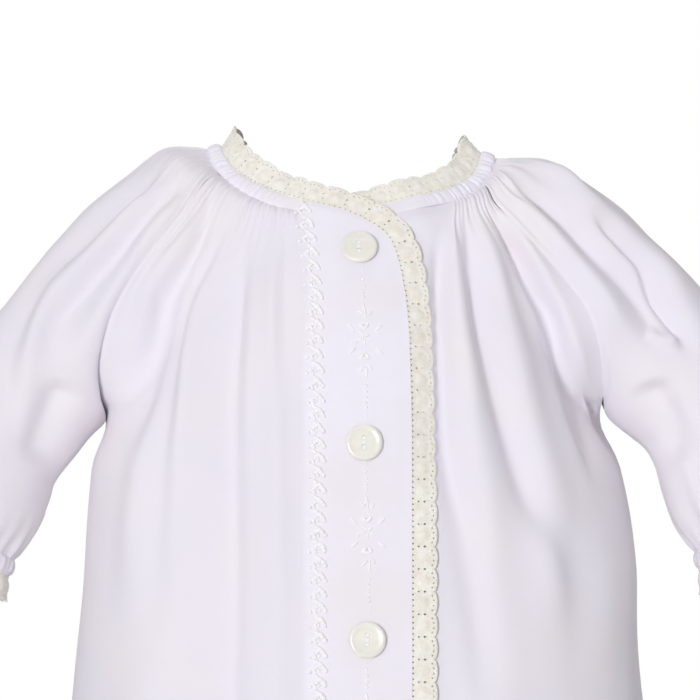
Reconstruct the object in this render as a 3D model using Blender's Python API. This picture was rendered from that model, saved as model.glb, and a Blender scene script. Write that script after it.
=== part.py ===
"""A newborn's daygown of white cotton batiste, in the hollow form that it takes when worn.

It has two fronts, a back and two raglan sleeves, gathered into a soft neck casing. The
wearer's right front laps over the left one and closes with pearl buttons, and a cream
eyelet edging runs round the neck, down the lapped edge and round both cuffs.
Metres, +Z up, the front faces -Y, and -X is the wearer's right. The origin is the middle
of the neck at the height where the gown rests on the shoulders.
"""

import math

import bmesh
import bpy
import numpy as np
from mathutils import Matrix, Vector

for old in list(bpy.data.objects):
    bpy.data.objects.remove(old)

# Driving sizes
HEM_HEIGHT = -0.505
CLOTH = 0.0012  # wall of a cloth solid
SEAM_GAP = 0.0002  # each side of a seam, so that two walls stand 0.4 mm apart
CASING_WIDTH = 0.0052
EDGING_WIDTH = 0.0074  # from the sewn edge to the notches between scallops
SCALLOP_RISE = 0.0021
SCALLOP_PITCH = 0.0078
BUTTON_RADIUS = 0.00635
BUTTON_THICK = 0.0022
BUTTON_CLEAR = 0.00035
BUTTON_TOP = -0.0338
BUTTON_PITCH = 0.0678
BUTTON_COUNT = 7
# How far down each place is, and how far across the button line lies there
BUTTON_LINE = ((0.0338, 0.0007), (0.1013, 0.0024), (0.1698, 0.0035), (0.5000, 0.0035))
# Radius and height, round a soft rim to the dished middle
BUTTON_PROFILE = (
    (0.0050, 0.0),
    (0.0062, 0.0006),
    (BUTTON_RADIUS, 0.0012),
    (0.0059, 0.0020),
    (0.0052, BUTTON_THICK),
    (0.0042, 0.0018),
)
BUTTON_SIDES = 16
HOLE_RADIUS = 0.00075
HOLE_PITCH = 0.0035
HOLE_SIDES = 8
HEM_FOLD = 0.016
HEM_RAISE = 0.0005  # the turned hem is three layers of cloth
NECK_SPLIT = 0.4  # the neck's two halves stop this many degrees short of the middle of the back
LAP_STOP = 0.6  # and this many degrees short of the lapped band
UNDER_EDGING_START = 0.0020

# The form, one row for each height: how far it reaches from the middle of the neck
BODY_COLUMNS = ("height", "right", "left", "front", "back")
BODY_ROWS = (
    (0.012, 0.030, 0.030, 0.018, 0.020),
    (-0.004, 0.041, 0.040, 0.028, 0.032),
    (-0.017, 0.049, 0.048, 0.0375, 0.040),
    (-0.033, 0.059, 0.058, 0.0485, 0.0475),
    (-0.060, 0.073, 0.071, 0.0600, 0.0540),
    (-0.092, 0.0885, 0.083, 0.0665, 0.0580),
    (-0.112, 0.0905, 0.090, 0.0685, 0.0600),
    (-0.131, 0.0915, 0.0955, 0.0700, 0.0615),
    (-0.166, 0.0947, 0.0985, 0.0720, 0.0645),
    (-0.300, 0.1100, 0.1140, 0.0820, 0.0780),
    (-0.420, 0.1270, 0.1300, 0.0930, 0.0910),
    (-0.520, 0.1410, 0.1440, 0.1020, 0.1010),
)
BODY_SQUARENESS = 2.25
NEAREST_SHARE = 0.2  # inside this share of the reach the distance is no longer followed

# Points are moved onto the form in steps, each by most of the way that is left
SEATING_STEPS = 12
SEATING_SHARE = 0.9
PROBE = 0.0004  # the form's direction is read this far to each side of a point
FARTHEST_FRONT = -0.14
HALVINGS = 34
CURVE_POINTS = 80

# The middle of each sleeve and its radius, from inside the neck to the cuff
SLEEVE_COLUMNS = ("right_out", "right_height", "left_out", "left_height", "forward", "radius")
SLEEVE_ROWS = (
    (0.028, -0.0300, 0.028, -0.0340, 0.000, 0.0335),
    (0.048, -0.0265, 0.048, -0.0320, 0.000, 0.0325),
    (0.065, -0.0360, 0.066, -0.0380, 0.001, 0.0308),
    (0.082, -0.0475, 0.084, -0.0500, 0.002, 0.0288),
    (0.104, -0.0700, 0.107, -0.0710, 0.003, 0.0268),
    (0.1205, -0.0890, 0.123, -0.0885, 0.005, 0.0255),
    (0.1315, -0.1075, 0.131, -0.1060, 0.008, 0.0255),
    (0.1350, -0.1230, 0.1345, -0.1220, 0.010, 0.0248),
    (0.1385, -0.1365, 0.1370, -0.1350, 0.012, 0.0182),
    (0.1400, -0.1425, 0.1380, -0.1410, 0.0125, 0.0176),
    (0.1425, -0.1520, 0.1400, -0.1505, 0.0130, 0.0192),
)
JOIN_AT_SHOULDER = 0.018  # how softly the sleeve runs into the body
JOIN_AT_UNDERARM = 0.008
JOIN_HEIGHTS = (-0.088, -0.050)
# Toward the underarm each piece leaves the joined form for its own, between these shares of its
# upper rows, because the fold between sleeve and body is too sharp to lay cloth in
OWN_FORM_SHARES = (0.40, 0.75)
SEAM_REACH = 0.2  # and this share of the panel's width beside the seam follows neither

# The neck seam, where the edging meets the casing: turn 0 is the middle of the back, 90
# the wearer's right shoulder and 180 the middle of the front
NECK_MIDDLE = -0.002
NECK_HALF_WIDTH = 0.0460
NECK_HALF_DEPTH = 0.0380
NECK_COLUMNS = ("turn", "height", "lean")
NECK_ROWS = (
    (0, -0.0150, -0.90),
    (40, -0.0100, -0.40),
    (68, 0.0018, 0.15),
    (90, 0.0010, 0.35),
    (112, -0.0030, 0.50),
    (135, -0.0100, 0.60),
    (160, -0.0159, 0.72),
    (180, -0.0172, 0.80),
    (200, -0.0152, 0.80),
    (225, -0.0118, 0.75),
    (248, -0.0066, 0.75),
    (270, 0.0006, 0.80),
    (292, -0.0005, 0.40),
    (320, -0.0100, -0.40),
    (360, -0.0150, -0.90),
)
RAGLAN_TURN = 25  # each raglan seam leaves the neck this far from the shoulder

# The raglan seams from the casing to the underarm, alike in front and behind
RAGLAN_COLUMNS = ("right", "left", "forward", "height")
RAGLAN_ROWS = (
    (0.0560, 0.0465, 0.026, -0.0140),
    (0.0635, 0.0540, 0.033, -0.0215),
    (0.0770, 0.0695, 0.036, -0.0385),
    (0.0865, 0.0820, 0.032, -0.0570),
    (0.0915, 0.0860, 0.020, -0.0750),
    (0.0893, 0.0865, 0.000, -0.0925),
)

# The lapped front's free edge: round the corner below the neck, then straight down
LAP_CORNER_ROWS = (
    (-0.0174, -0.0166),
    (-0.0100, -0.0180),
    (-0.0035, -0.0200),
    (0.0018, -0.0224),
    (0.0063, -0.0250),
)
LAP_EDGE_ROWS = (
    (0.0063, -0.0250),
    (0.0094, -0.0275),
    (0.0118, -0.0308),
    (0.0137, -0.0355),
    (0.0155, -0.0430),
    (0.0174, -0.0560),
    (0.0184, -0.0760),
    (0.0188, -0.0925),
)
LAP_EDGE = 0.0188
LAP_START = -0.0180  # where the gathers end and the flat lapped band begins
UNDER_EDGE = -0.0135  # the hidden free edge of the left front
UNDER_CLEAR = 0.0300  # beyond this the left front is no longer pressed in under the lap
UNDER_BLEND = 0.0110
UNDER_DROP = 0.0030

# Folds, one row each: the middle line seen from the front, as places across and height, then
# the half width at its top and foot, and how far it stands out (a trough stands in)
FRONT_FOLDS = (
    (((-0.049, -0.013), (-0.059, -0.024), (-0.068, -0.043), (-0.070, -0.063), (-0.076, -0.086),
      (-0.082, -0.106), (-0.088, -0.126)), 0.0035, 0.0110, -0.0042),
    (((-0.043, -0.016), (-0.055, -0.042), (-0.061, -0.058), (-0.064, -0.090), (-0.066, -0.140),
      (-0.070, -0.220)), 0.0040, 0.0110, 0.0030),
    (((-0.041, -0.020), (-0.047, -0.035), (-0.050, -0.070), (-0.055, -0.120), (-0.060, -0.200)),
     0.0035, 0.0110, -0.0026),
    (((-0.035, -0.018), (-0.040, -0.060), (-0.043, -0.120), (-0.047, -0.240)), 0.0035, 0.0120, 0.0022),
    (((0.0440, -0.014), (0.0515, -0.022), (0.057, -0.032), (0.063, -0.043), (0.068, -0.058),
      (0.072, -0.076), (0.078, -0.100)), 0.0030, 0.0080, -0.0042),
    (((0.048, -0.0125), (0.0550, -0.0225), (0.062, -0.0350), (0.069, -0.050), (0.074, -0.066),
      (0.080, -0.090)), 0.0030, 0.0070, 0.0032),
    (((0.039, -0.018), (0.044, -0.045), (0.050, -0.080), (0.060, -0.120), (0.070, -0.180)),
     0.0035, 0.0110, 0.0026),
    (((0.036, -0.020), (0.037, -0.060), (0.040, -0.100), (0.047, -0.140), (0.056, -0.200)),
     0.0035, 0.0110, -0.0030),
    (((-0.060, -0.002), (-0.082, -0.018), (-0.104, -0.040), (-0.118, -0.060), (-0.128, -0.085)),
     0.0035, 0.0065, -0.0026),
    (((-0.058, -0.009), (-0.078, -0.026), (-0.094, -0.046), (-0.104, -0.066), (-0.110, -0.080)),
     0.0035, 0.0070, 0.0026),
    (((0.058, -0.004), (0.082, -0.020), (0.100, -0.040), (0.113, -0.060), (0.126, -0.085)),
     0.0035, 0.0065, -0.0030),
    (((0.054, -0.010), (0.074, -0.026), (0.090, -0.046), (0.101, -0.066), (0.108, -0.080)),
     0.0035, 0.0070, 0.0026),
    (((-0.102, -0.078), (-0.108, -0.092), (-0.113, -0.110)), 0.0060, 0.0070, -0.0038),
    (((0.102, -0.078), (0.108, -0.092), (0.113, -0.110)), 0.0060, 0.0070, -0.0038),
)
BACK_FOLDS = (
    (((-0.060, -0.025), (-0.070, -0.060), (-0.078, -0.110), (-0.084, -0.180)), 0.0040, 0.0110, -0.0038),
    (((-0.030, -0.016), (-0.036, -0.060), (-0.042, -0.130), (-0.050, -0.260)), 0.0040, 0.0130, 0.0030),
    (((-0.008, -0.014), (-0.010, -0.070), (-0.014, -0.150), (-0.016, -0.300)), 0.0040, 0.0130, -0.0028),
    (((0.016, -0.014), (0.018, -0.070), (0.020, -0.140), (0.026, -0.280)), 0.0040, 0.0130, 0.0030),
    (((0.036, -0.018), (0.044, -0.070), (0.052, -0.130), (0.060, -0.240)), 0.0040, 0.0120, -0.0030),
    (((0.058, -0.024), (0.068, -0.060), (0.076, -0.110), (0.082, -0.180)), 0.0040, 0.0110, 0.0030),
    (((-0.070, -0.012), (-0.094, -0.034), (-0.112, -0.060), (-0.124, -0.090)), 0.0040, 0.0070, -0.0030),
    (((0.070, -0.012), (0.094, -0.034), (0.112, -0.060), (0.124, -0.090)), 0.0040, 0.0070, -0.0030),
)
# Flutes that swing out toward the hem: the place round the skirt and the half width, both in
# degrees, then the rise at the hem
FLUTE_ROWS = (
    (14, 10, 0.007),
    (42, 9, 0.009),
    (73, 8, 0.006),
    (108, 9, 0.008),
    (136, 8, 0.007),
    (222, 9, 0.007),
    (252, 10, 0.009),
    (286, 9, 0.007),
    (314, 9, 0.008),
    (342, 9, 0.007),
)
FLUTE_TOP = -0.150

# Gathers: each takes two steps of its panel's grid, one out and one back
GATHER_RISE = 0.0012
GATHER_LENGTH = 0.017
CUFF_GATHER_LENGTH = 0.011
CASING_RAISE = 0.0004
PUCKER_RISE = 0.0009
NECK_PUCKERS = 32  # on each half of the neck casing
CUFF_PUCKERS = 15
RUFFLE_RISE = 0.0007
EDGING_THICK = 0.0010

# Steps of the panels' grids
UPPER_ROWS = 11
UPPER_CROWDING = 1.25  # rows crowd toward the neck, where the gathers are
LOWER_HEIGHTS = (-0.118, -0.145, -0.180, -0.240, -0.320, -0.410, HEM_HEIGHT + HEM_FOLD, HEM_HEIGHT)
GATHERED_STEPS, BAND_STEPS = 16, 5
BACK_STEPS = 28
SLEEVE_STEPS = 24
SLEEVE_LOWER_ROWS = 6
SCALLOP_STEPS = 3


def column(rows, columns, name):
    return np.array([row[columns.index(name)] for row in rows], float)


def through(at, marks, values):
    """A smooth curve through the values at the marks, read at the given places."""
    slopes = np.gradient(values, marks)
    at = np.clip(at, marks[0], marks[-1])
    i = np.clip(np.searchsorted(marks, at) - 1, 0, len(marks) - 2)
    span = marks[i + 1] - marks[i]
    t = (at - marks[i]) / span
    return (
        values[i] * (2 * t**3 - 3 * t**2 + 1)
        + values[i + 1] * (3 * t**2 - 2 * t**3)
        + slopes[i] * span * (t**3 - 2 * t**2 + t)
        + slopes[i + 1] * span * (t**3 - t**2)
    )


def soft_step(x, low, high):
    t = np.clip((x - low) / (high - low), 0, 1)
    return t * t * (3 - 2 * t)


def path_through(points, count):
    """A smooth path of count points through a few points, evenly spaced along it."""
    points = np.asarray(points, float)
    marks = np.concatenate([[0], np.cumsum(np.linalg.norm(np.diff(points, axis=0), axis=1))])
    at = np.linspace(0, marks[-1], count)
    return np.stack([through(at, marks, points[:, k]) for k in range(points.shape[1])], axis=1)


def read_along(path, shares):
    """The places at these shares of an evenly spaced path."""
    marks = np.linspace(0, 1, len(path))
    return np.stack([np.interp(shares, marks, path[:, k]) for k in range(path.shape[1])], axis=1)


def unit(vectors):
    return vectors / np.maximum(np.linalg.norm(vectors, axis=-1, keepdims=True), 1e-9)


# The form of the worn gown, as a distance to its surface

BODY_HEIGHTS = column(BODY_ROWS, BODY_COLUMNS, "height")[::-1]
BODY_REACH = {name: column(BODY_ROWS, BODY_COLUMNS, name)[::-1] for name in BODY_COLUMNS[1:]}


def sleeve_line(side):
    """The middle of a sleeve as a fine path of places, with its radius in the fourth column."""
    name = "right" if side < 0 else "left"
    wanted = (name + "_out", name + "_height", "forward", "radius")
    out, height, forward, radius = (column(SLEEVE_ROWS, SLEEVE_COLUMNS, key) for key in wanted)
    return path_through(np.stack([out * side, -forward, height, radius], axis=1), 26)


SLEEVE_LINES = {side: sleeve_line(side) for side in (-1, 1)}


def body_reach(heights):
    return {name: through(heights, BODY_HEIGHTS, values) for name, values in BODY_REACH.items()}


def body_distance(p):
    reach = body_reach(p[..., 2])
    across = p[..., 0] / np.where(p[..., 0] < 0, reach["right"], reach["left"])
    deep = p[..., 1] / np.where(p[..., 1] < 0, reach["front"], reach["back"])
    share = np.abs(across) ** BODY_SQUARENESS + np.abs(deep) ** BODY_SQUARENESS
    share = np.maximum(share ** (1 / BODY_SQUARENESS), NEAREST_SHARE)
    return np.hypot(p[..., 0], p[..., 1]) * (1 - 1 / share)


def sleeve_distance(p, side):
    line = SLEEVE_LINES[side]
    a, b = line[:-1, :3], line[1:, :3]
    d = b - a
    along = np.clip(((p[..., None, :] - a) * d).sum(-1) / (d * d).sum(-1), 0, 1)
    off = np.linalg.norm(p[..., None, :] - a - along[..., None] * d, axis=-1)
    return (off - line[:-1, 3] - along * (line[1:, 3] - line[:-1, 3])).min(-1)


def joined(a, b, soft):
    share = np.maximum(soft - np.abs(a - b), 0) / soft
    return np.minimum(a, b) - share * share * soft / 4


def form(p):
    soft = JOIN_AT_UNDERARM + (JOIN_AT_SHOULDER - JOIN_AT_UNDERARM) * soft_step(p[..., 2], *JOIN_HEIGHTS)
    body = body_distance(p)
    return joined(joined(body, sleeve_distance(p, -1), soft), sleeve_distance(p, 1), soft)


def outward(p):
    """The direction straight out of the form."""
    axes = np.eye(3) * PROBE
    return unit(np.stack([form(p + axis) - form(p - axis) for axis in axes], axis=-1))


def seated(p):
    """The points moved straight in or out onto the form."""
    for _ in range(SEATING_STEPS):
        p = p - outward(p) * form(p)[..., None] * SEATING_SHARE
    return p


def seated_on_body(p):
    """The points moved level, in or out, onto the body without its sleeves."""
    for _ in range(SEATING_STEPS):
        level = unit(p * (1, 1, 0))
        p = p - level * body_distance(p)[..., None] * SEATING_SHARE
    return p


def seated_on_sleeve(side):
    """What moves points straight in or out onto one sleeve without the body."""

    def on_sleeve(p):
        axes = np.eye(3) * PROBE
        for _ in range(SEATING_STEPS):
            rise = [sleeve_distance(p + axis, side) - sleeve_distance(p - axis, side) for axis in axes]
            way = unit(np.stack(rise, axis=-1))
            p = p - way * sleeve_distance(p, side)[..., None] * SEATING_SHARE
        return p

    return on_sleeve


# Folds, gathers and flutes that stand out of the form


def fold_rise(p, rows, facing):
    total = np.zeros(p.shape[:-1])
    for line, width_top, width_foot, rise in rows:
        path = path_through(line, 18)
        a, d = path[:-1], np.diff(path, axis=0)
        flat = p[..., [0, 2]]
        along = np.clip(((flat[..., None, :] - a) * d).sum(-1) / (d * d).sum(-1), 0, 1)
        off = np.linalg.norm(flat[..., None, :] - a - along[..., None] * d, axis=-1)
        nearest = off.argmin(-1)
        share = (nearest + np.take_along_axis(along, nearest[..., None], -1)[..., 0]) / len(a)
        width = width_top + (width_foot - width_top) * share
        ends = soft_step(share, 0.0, 0.18) * (1 - soft_step(share, 0.72, 1.0))
        total += rise * ends * np.exp(-((off.min(-1) / width) ** 2))
    return total * facing


def flute_rise(p):
    turn = np.degrees(np.arctan2(-p[..., 0], p[..., 1])) % 360
    total = np.zeros(p.shape[:-1])
    for middle, half_turn, rise in FLUTE_ROWS:
        off = (turn - middle + 180) % 360 - 180
        total += rise * np.exp(-((off / half_turn) ** 2))
    return total * soft_step(FLUTE_TOP - p[..., 2], 0, FLUTE_TOP - HEM_HEIGHT)


def folds(p, normal):
    front = soft_step(-normal[..., 1], 0.05, 0.45)
    back = soft_step(normal[..., 1], 0.05, 0.45)
    return fold_rise(p, FRONT_FOLDS, front) + fold_rise(p, BACK_FOLDS, back) + flute_rise(p)


# The neck and the seams


def neck_value(turn, name):
    """A column of the neck's table, read all the way round."""
    turns = column(NECK_ROWS, NECK_COLUMNS, "turn")
    values = column(NECK_ROWS, NECK_COLUMNS, name)
    turns = np.concatenate([[turns[-2] - 360], turns, [turns[1] + 360]])
    return through(turn, turns, np.concatenate([values[-2:-1], values, values[1:2]]))


def neck_at(turn):
    around = np.radians(turn)
    return np.stack(
        [
            NECK_MIDDLE - NECK_HALF_WIDTH * np.sin(around),
            NECK_HALF_DEPTH * np.cos(around),
            neck_value(turn, "height"),
        ],
        axis=-1,
    )


def neck_turn(x):
    """The turn at which the front of the neck seam passes x."""
    return 180 + math.degrees(math.asin((x - NECK_MIDDLE) / NECK_HALF_WIDTH))


def below_neck(turn, distance):
    """Points on the form below the neck seam, square to it."""
    top = neck_at(turn)
    tangent = unit(neck_at(turn + 1.0) - neck_at(turn - 1.0))
    down = unit(np.cross(outward(top), tangent))
    down = np.where(down[..., 2:] > 0, -down, down)
    return top + down * distance


def casing_foot(turn):
    return below_neck(turn, CASING_WIDTH + 2 * SEAM_GAP)


def raglan(side, front, share):
    """A raglan seam from the casing to the underarm, read at the given shares of its length."""
    turn = 90 + RAGLAN_TURN * (1 if front else -1)
    top = casing_foot(np.array([float(turn if side < 0 else 360 - turn)]))
    out = column(RAGLAN_ROWS, RAGLAN_COLUMNS, "right" if side < 0 else "left") * side
    forward = column(RAGLAN_ROWS, RAGLAN_COLUMNS, "forward") * (-1 if front else 1)
    rows = np.stack([out, forward, column(RAGLAN_ROWS, RAGLAN_COLUMNS, "height")], axis=1)
    fine = path_through(np.concatenate([top, rows]), CURVE_POINTS)
    seam = read_along(fine, share)
    held = soft_step(share, 0.0, 0.1) * (1 - soft_step(share, *OWN_FORM_SHARES))
    return seam + (seated(seam) - seam) * held[:, None]


def ring_point(height, turn):
    """A first place for a point of the skirt, before it is seated on the form."""
    reach = body_reach(np.asarray(height, float))
    around = np.radians(turn)
    wide = np.where(np.sin(around) > 0, reach["right"], reach["left"])
    deep = np.where(np.cos(around) < 0, reach["front"], reach["back"])
    level = np.broadcast_to(height, around.shape)
    return np.stack([-wide * np.sin(around), deep * np.cos(around), level], axis=-1)


def turn_at(height, x):
    """The turn round the skirt at which the front passes x."""
    wide = float(through(np.array(height), BODY_HEIGHTS, BODY_REACH["right" if x < 0 else "left"]))
    return 180 + math.degrees(math.asin(x / wide))


def on_front(x, z):
    """The place on the front of the form that is seen at x and z."""
    x, z = np.broadcast_arrays(np.asarray(x, float), np.asarray(z, float))
    near, far = np.full(x.shape, FARTHEST_FRONT), np.zeros(x.shape)
    for _ in range(HALVINGS):
        middle = (near + far) / 2
        outside = form(np.stack([x, middle, z], -1)) > 0
        near, far = np.where(outside, middle, near), np.where(outside, far, middle)
    return np.stack([x, (near + far) / 2, z], -1)


# Each panel's grid of points on the form, one row for each height

UPPER_SHARES = np.linspace(0, 1, UPPER_ROWS + 1) ** UPPER_CROWDING


def patch(top, foot, first, last, on_own_form, lapped=False):
    """The grid between four edges, the upper rows of a panel: top and foot run across it."""
    u = np.linspace(0, 1, len(top))[None, :, None]
    v = UPPER_SHARES[:, None, None]
    foot = foot.copy()
    foot[0], foot[-1] = first[-1], last[-1]
    corners = (1 - v) * ((1 - u) * top[0] + u * top[-1]) + v * ((1 - u) * foot[0] + u * foot[-1])
    rows = (1 - v) * top + v * foot + (1 - u) * first[:, None] + u * last[:, None] - corners
    # The neck keeps its own line, and lower down so do the raglan seams
    whole = rows + (seated(rows) - rows) * soft_step(np.arange(len(rows)), 0, 4)[:, None, None]
    held = soft_step(u, 0, SEAM_REACH) * (1 if lapped else soft_step(1 - u, 0, SEAM_REACH))
    own = rows + (on_own_form(rows) - rows) * held
    return whole + (own - whole) * soft_step(v, *OWN_FORM_SHARES)


def spread(marks, counts):
    """Places between marks, each stretch cut into its own count of steps."""
    parts = [np.linspace(a, b, n, endpoint=False) for a, b, n in zip(marks[:-1], marks[1:], counts)]
    return np.concatenate([*parts, [marks[-1]]])


def skirt(turns_at):
    return np.stack([seated_on_body(ring_point(height, turns_at(height))) for height in LOWER_HEIGHTS])


def front_right_grid():
    """From the raglan seam to the lapped edge. The last steps across it are the flat lapped band."""
    gathered = np.linspace(90 + RAGLAN_TURN, neck_turn(LAP_START), GATHERED_STEPS + 1)
    corner = path_through(LAP_CORNER_ROWS, BAND_STEPS)
    top = np.concatenate([casing_foot(gathered), on_front(corner[:, 0], corner[:, 1])])
    edge = path_through(LAP_EDGE_ROWS, CURVE_POINTS)
    edge = read_along(edge, UPPER_SHARES)
    last = on_front(edge[:, 0], edge[:, 1])

    def turns_at(height):
        marks = (90.0, turn_at(height, LAP_START), turn_at(height, LAP_EDGE))
        return spread(marks, (GATHERED_STEPS, BAND_STEPS))

    foot_height = RAGLAN_ROWS[-1][-1]
    foot = seated_on_body(ring_point(foot_height, turns_at(foot_height)))
    upper = patch(top, foot, raglan(-1, True, UPPER_SHARES), last, seated_on_body, True)
    upper[:, -1] = last
    return np.concatenate([upper, skirt(turns_at)])


def front_left_grid():
    """From the raglan seam to the hidden edge under the lap."""
    steps = (GATHERED_STEPS - 2, BAND_STEPS + 2)
    turns = spread((270.0 - RAGLAN_TURN, neck_turn(UNDER_CLEAR), neck_turn(UNDER_EDGE)), steps)
    top = casing_foot(turns)

    def turns_at(height):
        return spread((270.0, turn_at(height, UNDER_CLEAR), turn_at(height, UNDER_EDGE)), steps)

    foot_height = RAGLAN_ROWS[-1][-1]
    foot = seated_on_body(ring_point(foot_height, turns_at(foot_height)))
    heights = top[-1][2] + UPPER_SHARES * (foot_height - top[-1][2])
    last = on_front(np.full(UPPER_ROWS + 1, UNDER_EDGE), heights)
    last[0] = top[-1]
    upper = patch(top, foot, raglan(1, True, UPPER_SHARES), last, seated_on_body, True)
    return np.concatenate([upper, skirt(turns_at)])


def back_grid():
    top = casing_foot(np.linspace(-90 + RAGLAN_TURN, 90 - RAGLAN_TURN, BACK_STEPS + 1) % 360)
    around = np.linspace(-90, 90, BACK_STEPS + 1)
    foot = seated_on_body(ring_point(RAGLAN_ROWS[-1][-1], around))
    first, last = (raglan(side, False, UPPER_SHARES) for side in (1, -1))
    upper = patch(top, foot, first, last, seated_on_body)
    return np.concatenate([upper, skirt(lambda _height: around)])


def sleeve_frame(share, side):
    """A place along the sleeve's middle line, the way that it runs and its radius."""
    line = SLEEVE_LINES[side]
    marks = np.linspace(0, 1, len(line))
    at = np.array([np.interp(share, marks, line[:, k]) for k in range(4)])
    ahead = np.array([np.interp(min(share + 0.02, 1), marks, line[:, k]) for k in range(3)])
    behind = np.array([np.interp(share - 0.02, marks, line[:, k]) for k in range(3)])
    return at[:3], unit(ahead - behind), at[3]


def sleeve_ring(share, side, steps, inward=None):
    """A ring round the sleeve that starts at its underarm seam and turns to the front first."""
    middle, along, radius = sleeve_frame(share, side)
    inward = np.array([-side * 1.0, 0.0, -0.55]) if inward is None else inward - middle
    inner = unit(inward - along * (inward @ along))
    forward = unit(np.cross(along, inner))
    forward = forward if forward[1] < 0 else -forward
    around = np.linspace(0, 2 * math.pi, steps + 1)[:, None]
    return middle + radius * (np.cos(around) * inner + np.sin(around) * forward)


SLEEVE_LENGTH = float(np.linalg.norm(np.diff(SLEEVE_LINES[-1][:, :3], axis=0), axis=1).sum())
CUFF_EDGE_SHARE = 1 - (EDGING_WIDTH + SCALLOP_RISE) / SLEEVE_LENGTH
CUFF_SEAM_SHARE = CUFF_EDGE_SHARE - (CASING_WIDTH + 2 * SEAM_GAP) / SLEEVE_LENGTH


def underarm_share(underarm, side):
    """How far along the sleeve's middle line the section through the underarm lies."""
    shares = np.linspace(0.3, 0.8, 300)
    frames = [sleeve_frame(share, side) for share in shares]
    return shares[np.argmin([abs((underarm - middle) @ along) for middle, along, _ in frames])]


def sleeve_grid(side):
    turns = np.linspace(90 + RAGLAN_TURN, 90 - RAGLAN_TURN, SLEEVE_STEPS + 1)
    top = casing_foot(turns if side < 0 else 360 - turns)
    first, last = raglan(side, True, UPPER_SHARES), raglan(side, False, UPPER_SHARES)
    start = underarm_share(first[-1], side)
    foot = sleeve_ring(start, side, SLEEVE_STEPS, first[-1])
    shares = np.linspace(start, CUFF_SEAM_SHARE, SLEEVE_LOWER_ROWS + 1)[1:]
    lower = [sleeve_ring(share, side, SLEEVE_STEPS) for share in shares]
    upper = patch(top, foot, first, last, seated_on_sleeve(side))
    upper[-1] = foot
    return np.concatenate([upper, np.stack(lower)])


# Walls of cloth between an outer and an inner skin


def material_of(name, colour, roughness):
    found = bpy.data.materials.get(name)
    if found is None:
        found = bpy.data.materials.new(name)
        found.use_nodes = True
        shader = found.node_tree.nodes["Principled BSDF"]
        shader.inputs["Base Color"].default_value = (*colour, 1)
        shader.inputs["Roughness"].default_value = roughness
        shader.inputs["Metallic"].default_value = 0
    return found


def batiste():
    return material_of("white cotton batiste", (0.86, 0.85, 0.90), 0.85)


def eyelet_cotton():
    return material_of("cream eyelet cotton", (0.87, 0.85, 0.74), 0.9)


def pearl():
    return material_of("mother of pearl", (0.88, 0.87, 0.80), 0.3)


def add_object(name, data, material):
    data.materials.append(material)
    data.shade_smooth()
    data.set_sharp_from_angle(angle=math.radians(50))
    piece = bpy.data.objects.new(name, data)
    bpy.context.scene.collection.objects.link(piece)
    return piece


def solid_between(name, outer, inner, material, closed=False):
    """One solid between two grids of the same size. A closed one joins its last column to its first."""
    rows, columns = outer.shape[:2]
    mesh = bmesh.new()
    skins = [[[mesh.verts.new(Vector(p)) for p in row] for row in grid] for grid in (outer, inner)]
    last = columns if closed else columns - 1
    for j in range(last):
        k = (j + 1) % columns
        for i in range(rows - 1):
            mesh.faces.new([skins[0][i][j], skins[0][i + 1][j], skins[0][i + 1][k], skins[0][i][k]])
            mesh.faces.new([skins[1][i][k], skins[1][i + 1][k], skins[1][i + 1][j], skins[1][i][j]])
        for i in (0, rows - 1):
            mesh.faces.new([skins[0][i][j], skins[0][i][k], skins[1][i][k], skins[1][i][j]])
    for j in () if closed else (0, columns - 1):
        for i in range(rows - 1):
            mesh.faces.new([skins[0][i][j], skins[0][i + 1][j], skins[1][i + 1][j], skins[1][i][j]])
    bmesh.ops.triangulate(mesh, faces=mesh.faces[:])
    bmesh.ops.recalc_face_normals(mesh, faces=mesh.faces[:])
    if mesh.calc_volume(signed=True) < 0:
        bmesh.ops.reverse_faces(mesh, faces=mesh.faces[:])
    data = bpy.data.meshes.new(name)
    mesh.to_mesh(data)
    mesh.free()
    return add_object(name, data, material)


def drawn_back(rows, last):
    """The grid with its seam edges drawn back, so that the next piece stands clear of it."""
    rows = rows.copy()
    rows[:, 0] += unit(rows[:, 1] - rows[:, 0]) * SEAM_GAP
    if last:
        rows[:, -1] += unit(rows[:, -2] - rows[:, -1]) * SEAM_GAP
    return rows


def zigzag(count):
    return np.arange(count) % 2


def under_lap(p):
    """1 where the lap and its edging cover the left front and press it in, 0 clear of them."""
    return (p[..., 1] < 0) * (1 - soft_step(p[..., 0], UNDER_CLEAR, UNDER_CLEAR + UNDER_BLEND))


def straight_out(rows):
    """The direction out of a grid of points, from the way that its rows and columns run."""
    form_out = outward(rows)
    out = unit(np.cross(np.gradient(rows, axis=0), np.gradient(rows, axis=1)))
    out = out * np.sign((out * form_out).sum())
    # Along the seams it is the form's own, so that two walls which meet there agree
    inside = np.ones(rows.shape[:2])
    inside[:, [1, -2]] = 0.5
    inside[:, [0, -1]] = 0
    inside[0] = 0
    return unit(form_out + (out - form_out) * inside[..., None])


def panel(name, grid, gathered, pressed=False, free_edge=False, cuffed=False):
    rows = drawn_back(grid, last=not free_edge)
    normal = straight_out(rows)
    step = np.linalg.norm(np.diff(rows, axis=0, prepend=rows[:1]), axis=-1)
    from_top = np.cumsum(step, axis=0)
    fading = np.exp(-((from_top / GATHER_LENGTH) ** 2))
    if cuffed:
        fading += np.exp(-(((from_top[-1] - from_top) / CUFF_GATHER_LENGTH) ** 2))
    small = GATHER_RISE * fading * zigzag(rows.shape[1]) * (np.arange(rows.shape[1]) < gathered)
    large = folds(rows, normal)
    if pressed:
        large = large - UNDER_DROP * under_lap(rows)
        small = small * (1 - under_lap(rows))
    skin = rows + normal * large[..., None]
    hem = 0 if cuffed else HEM_RAISE * (rows[..., 2] < HEM_HEIGHT + HEM_FOLD * 0.8)
    solid_between(name, skin + normal * (small + hem)[..., None], skin - normal * CLOTH, batiste())


# The casings and the edging


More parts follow.
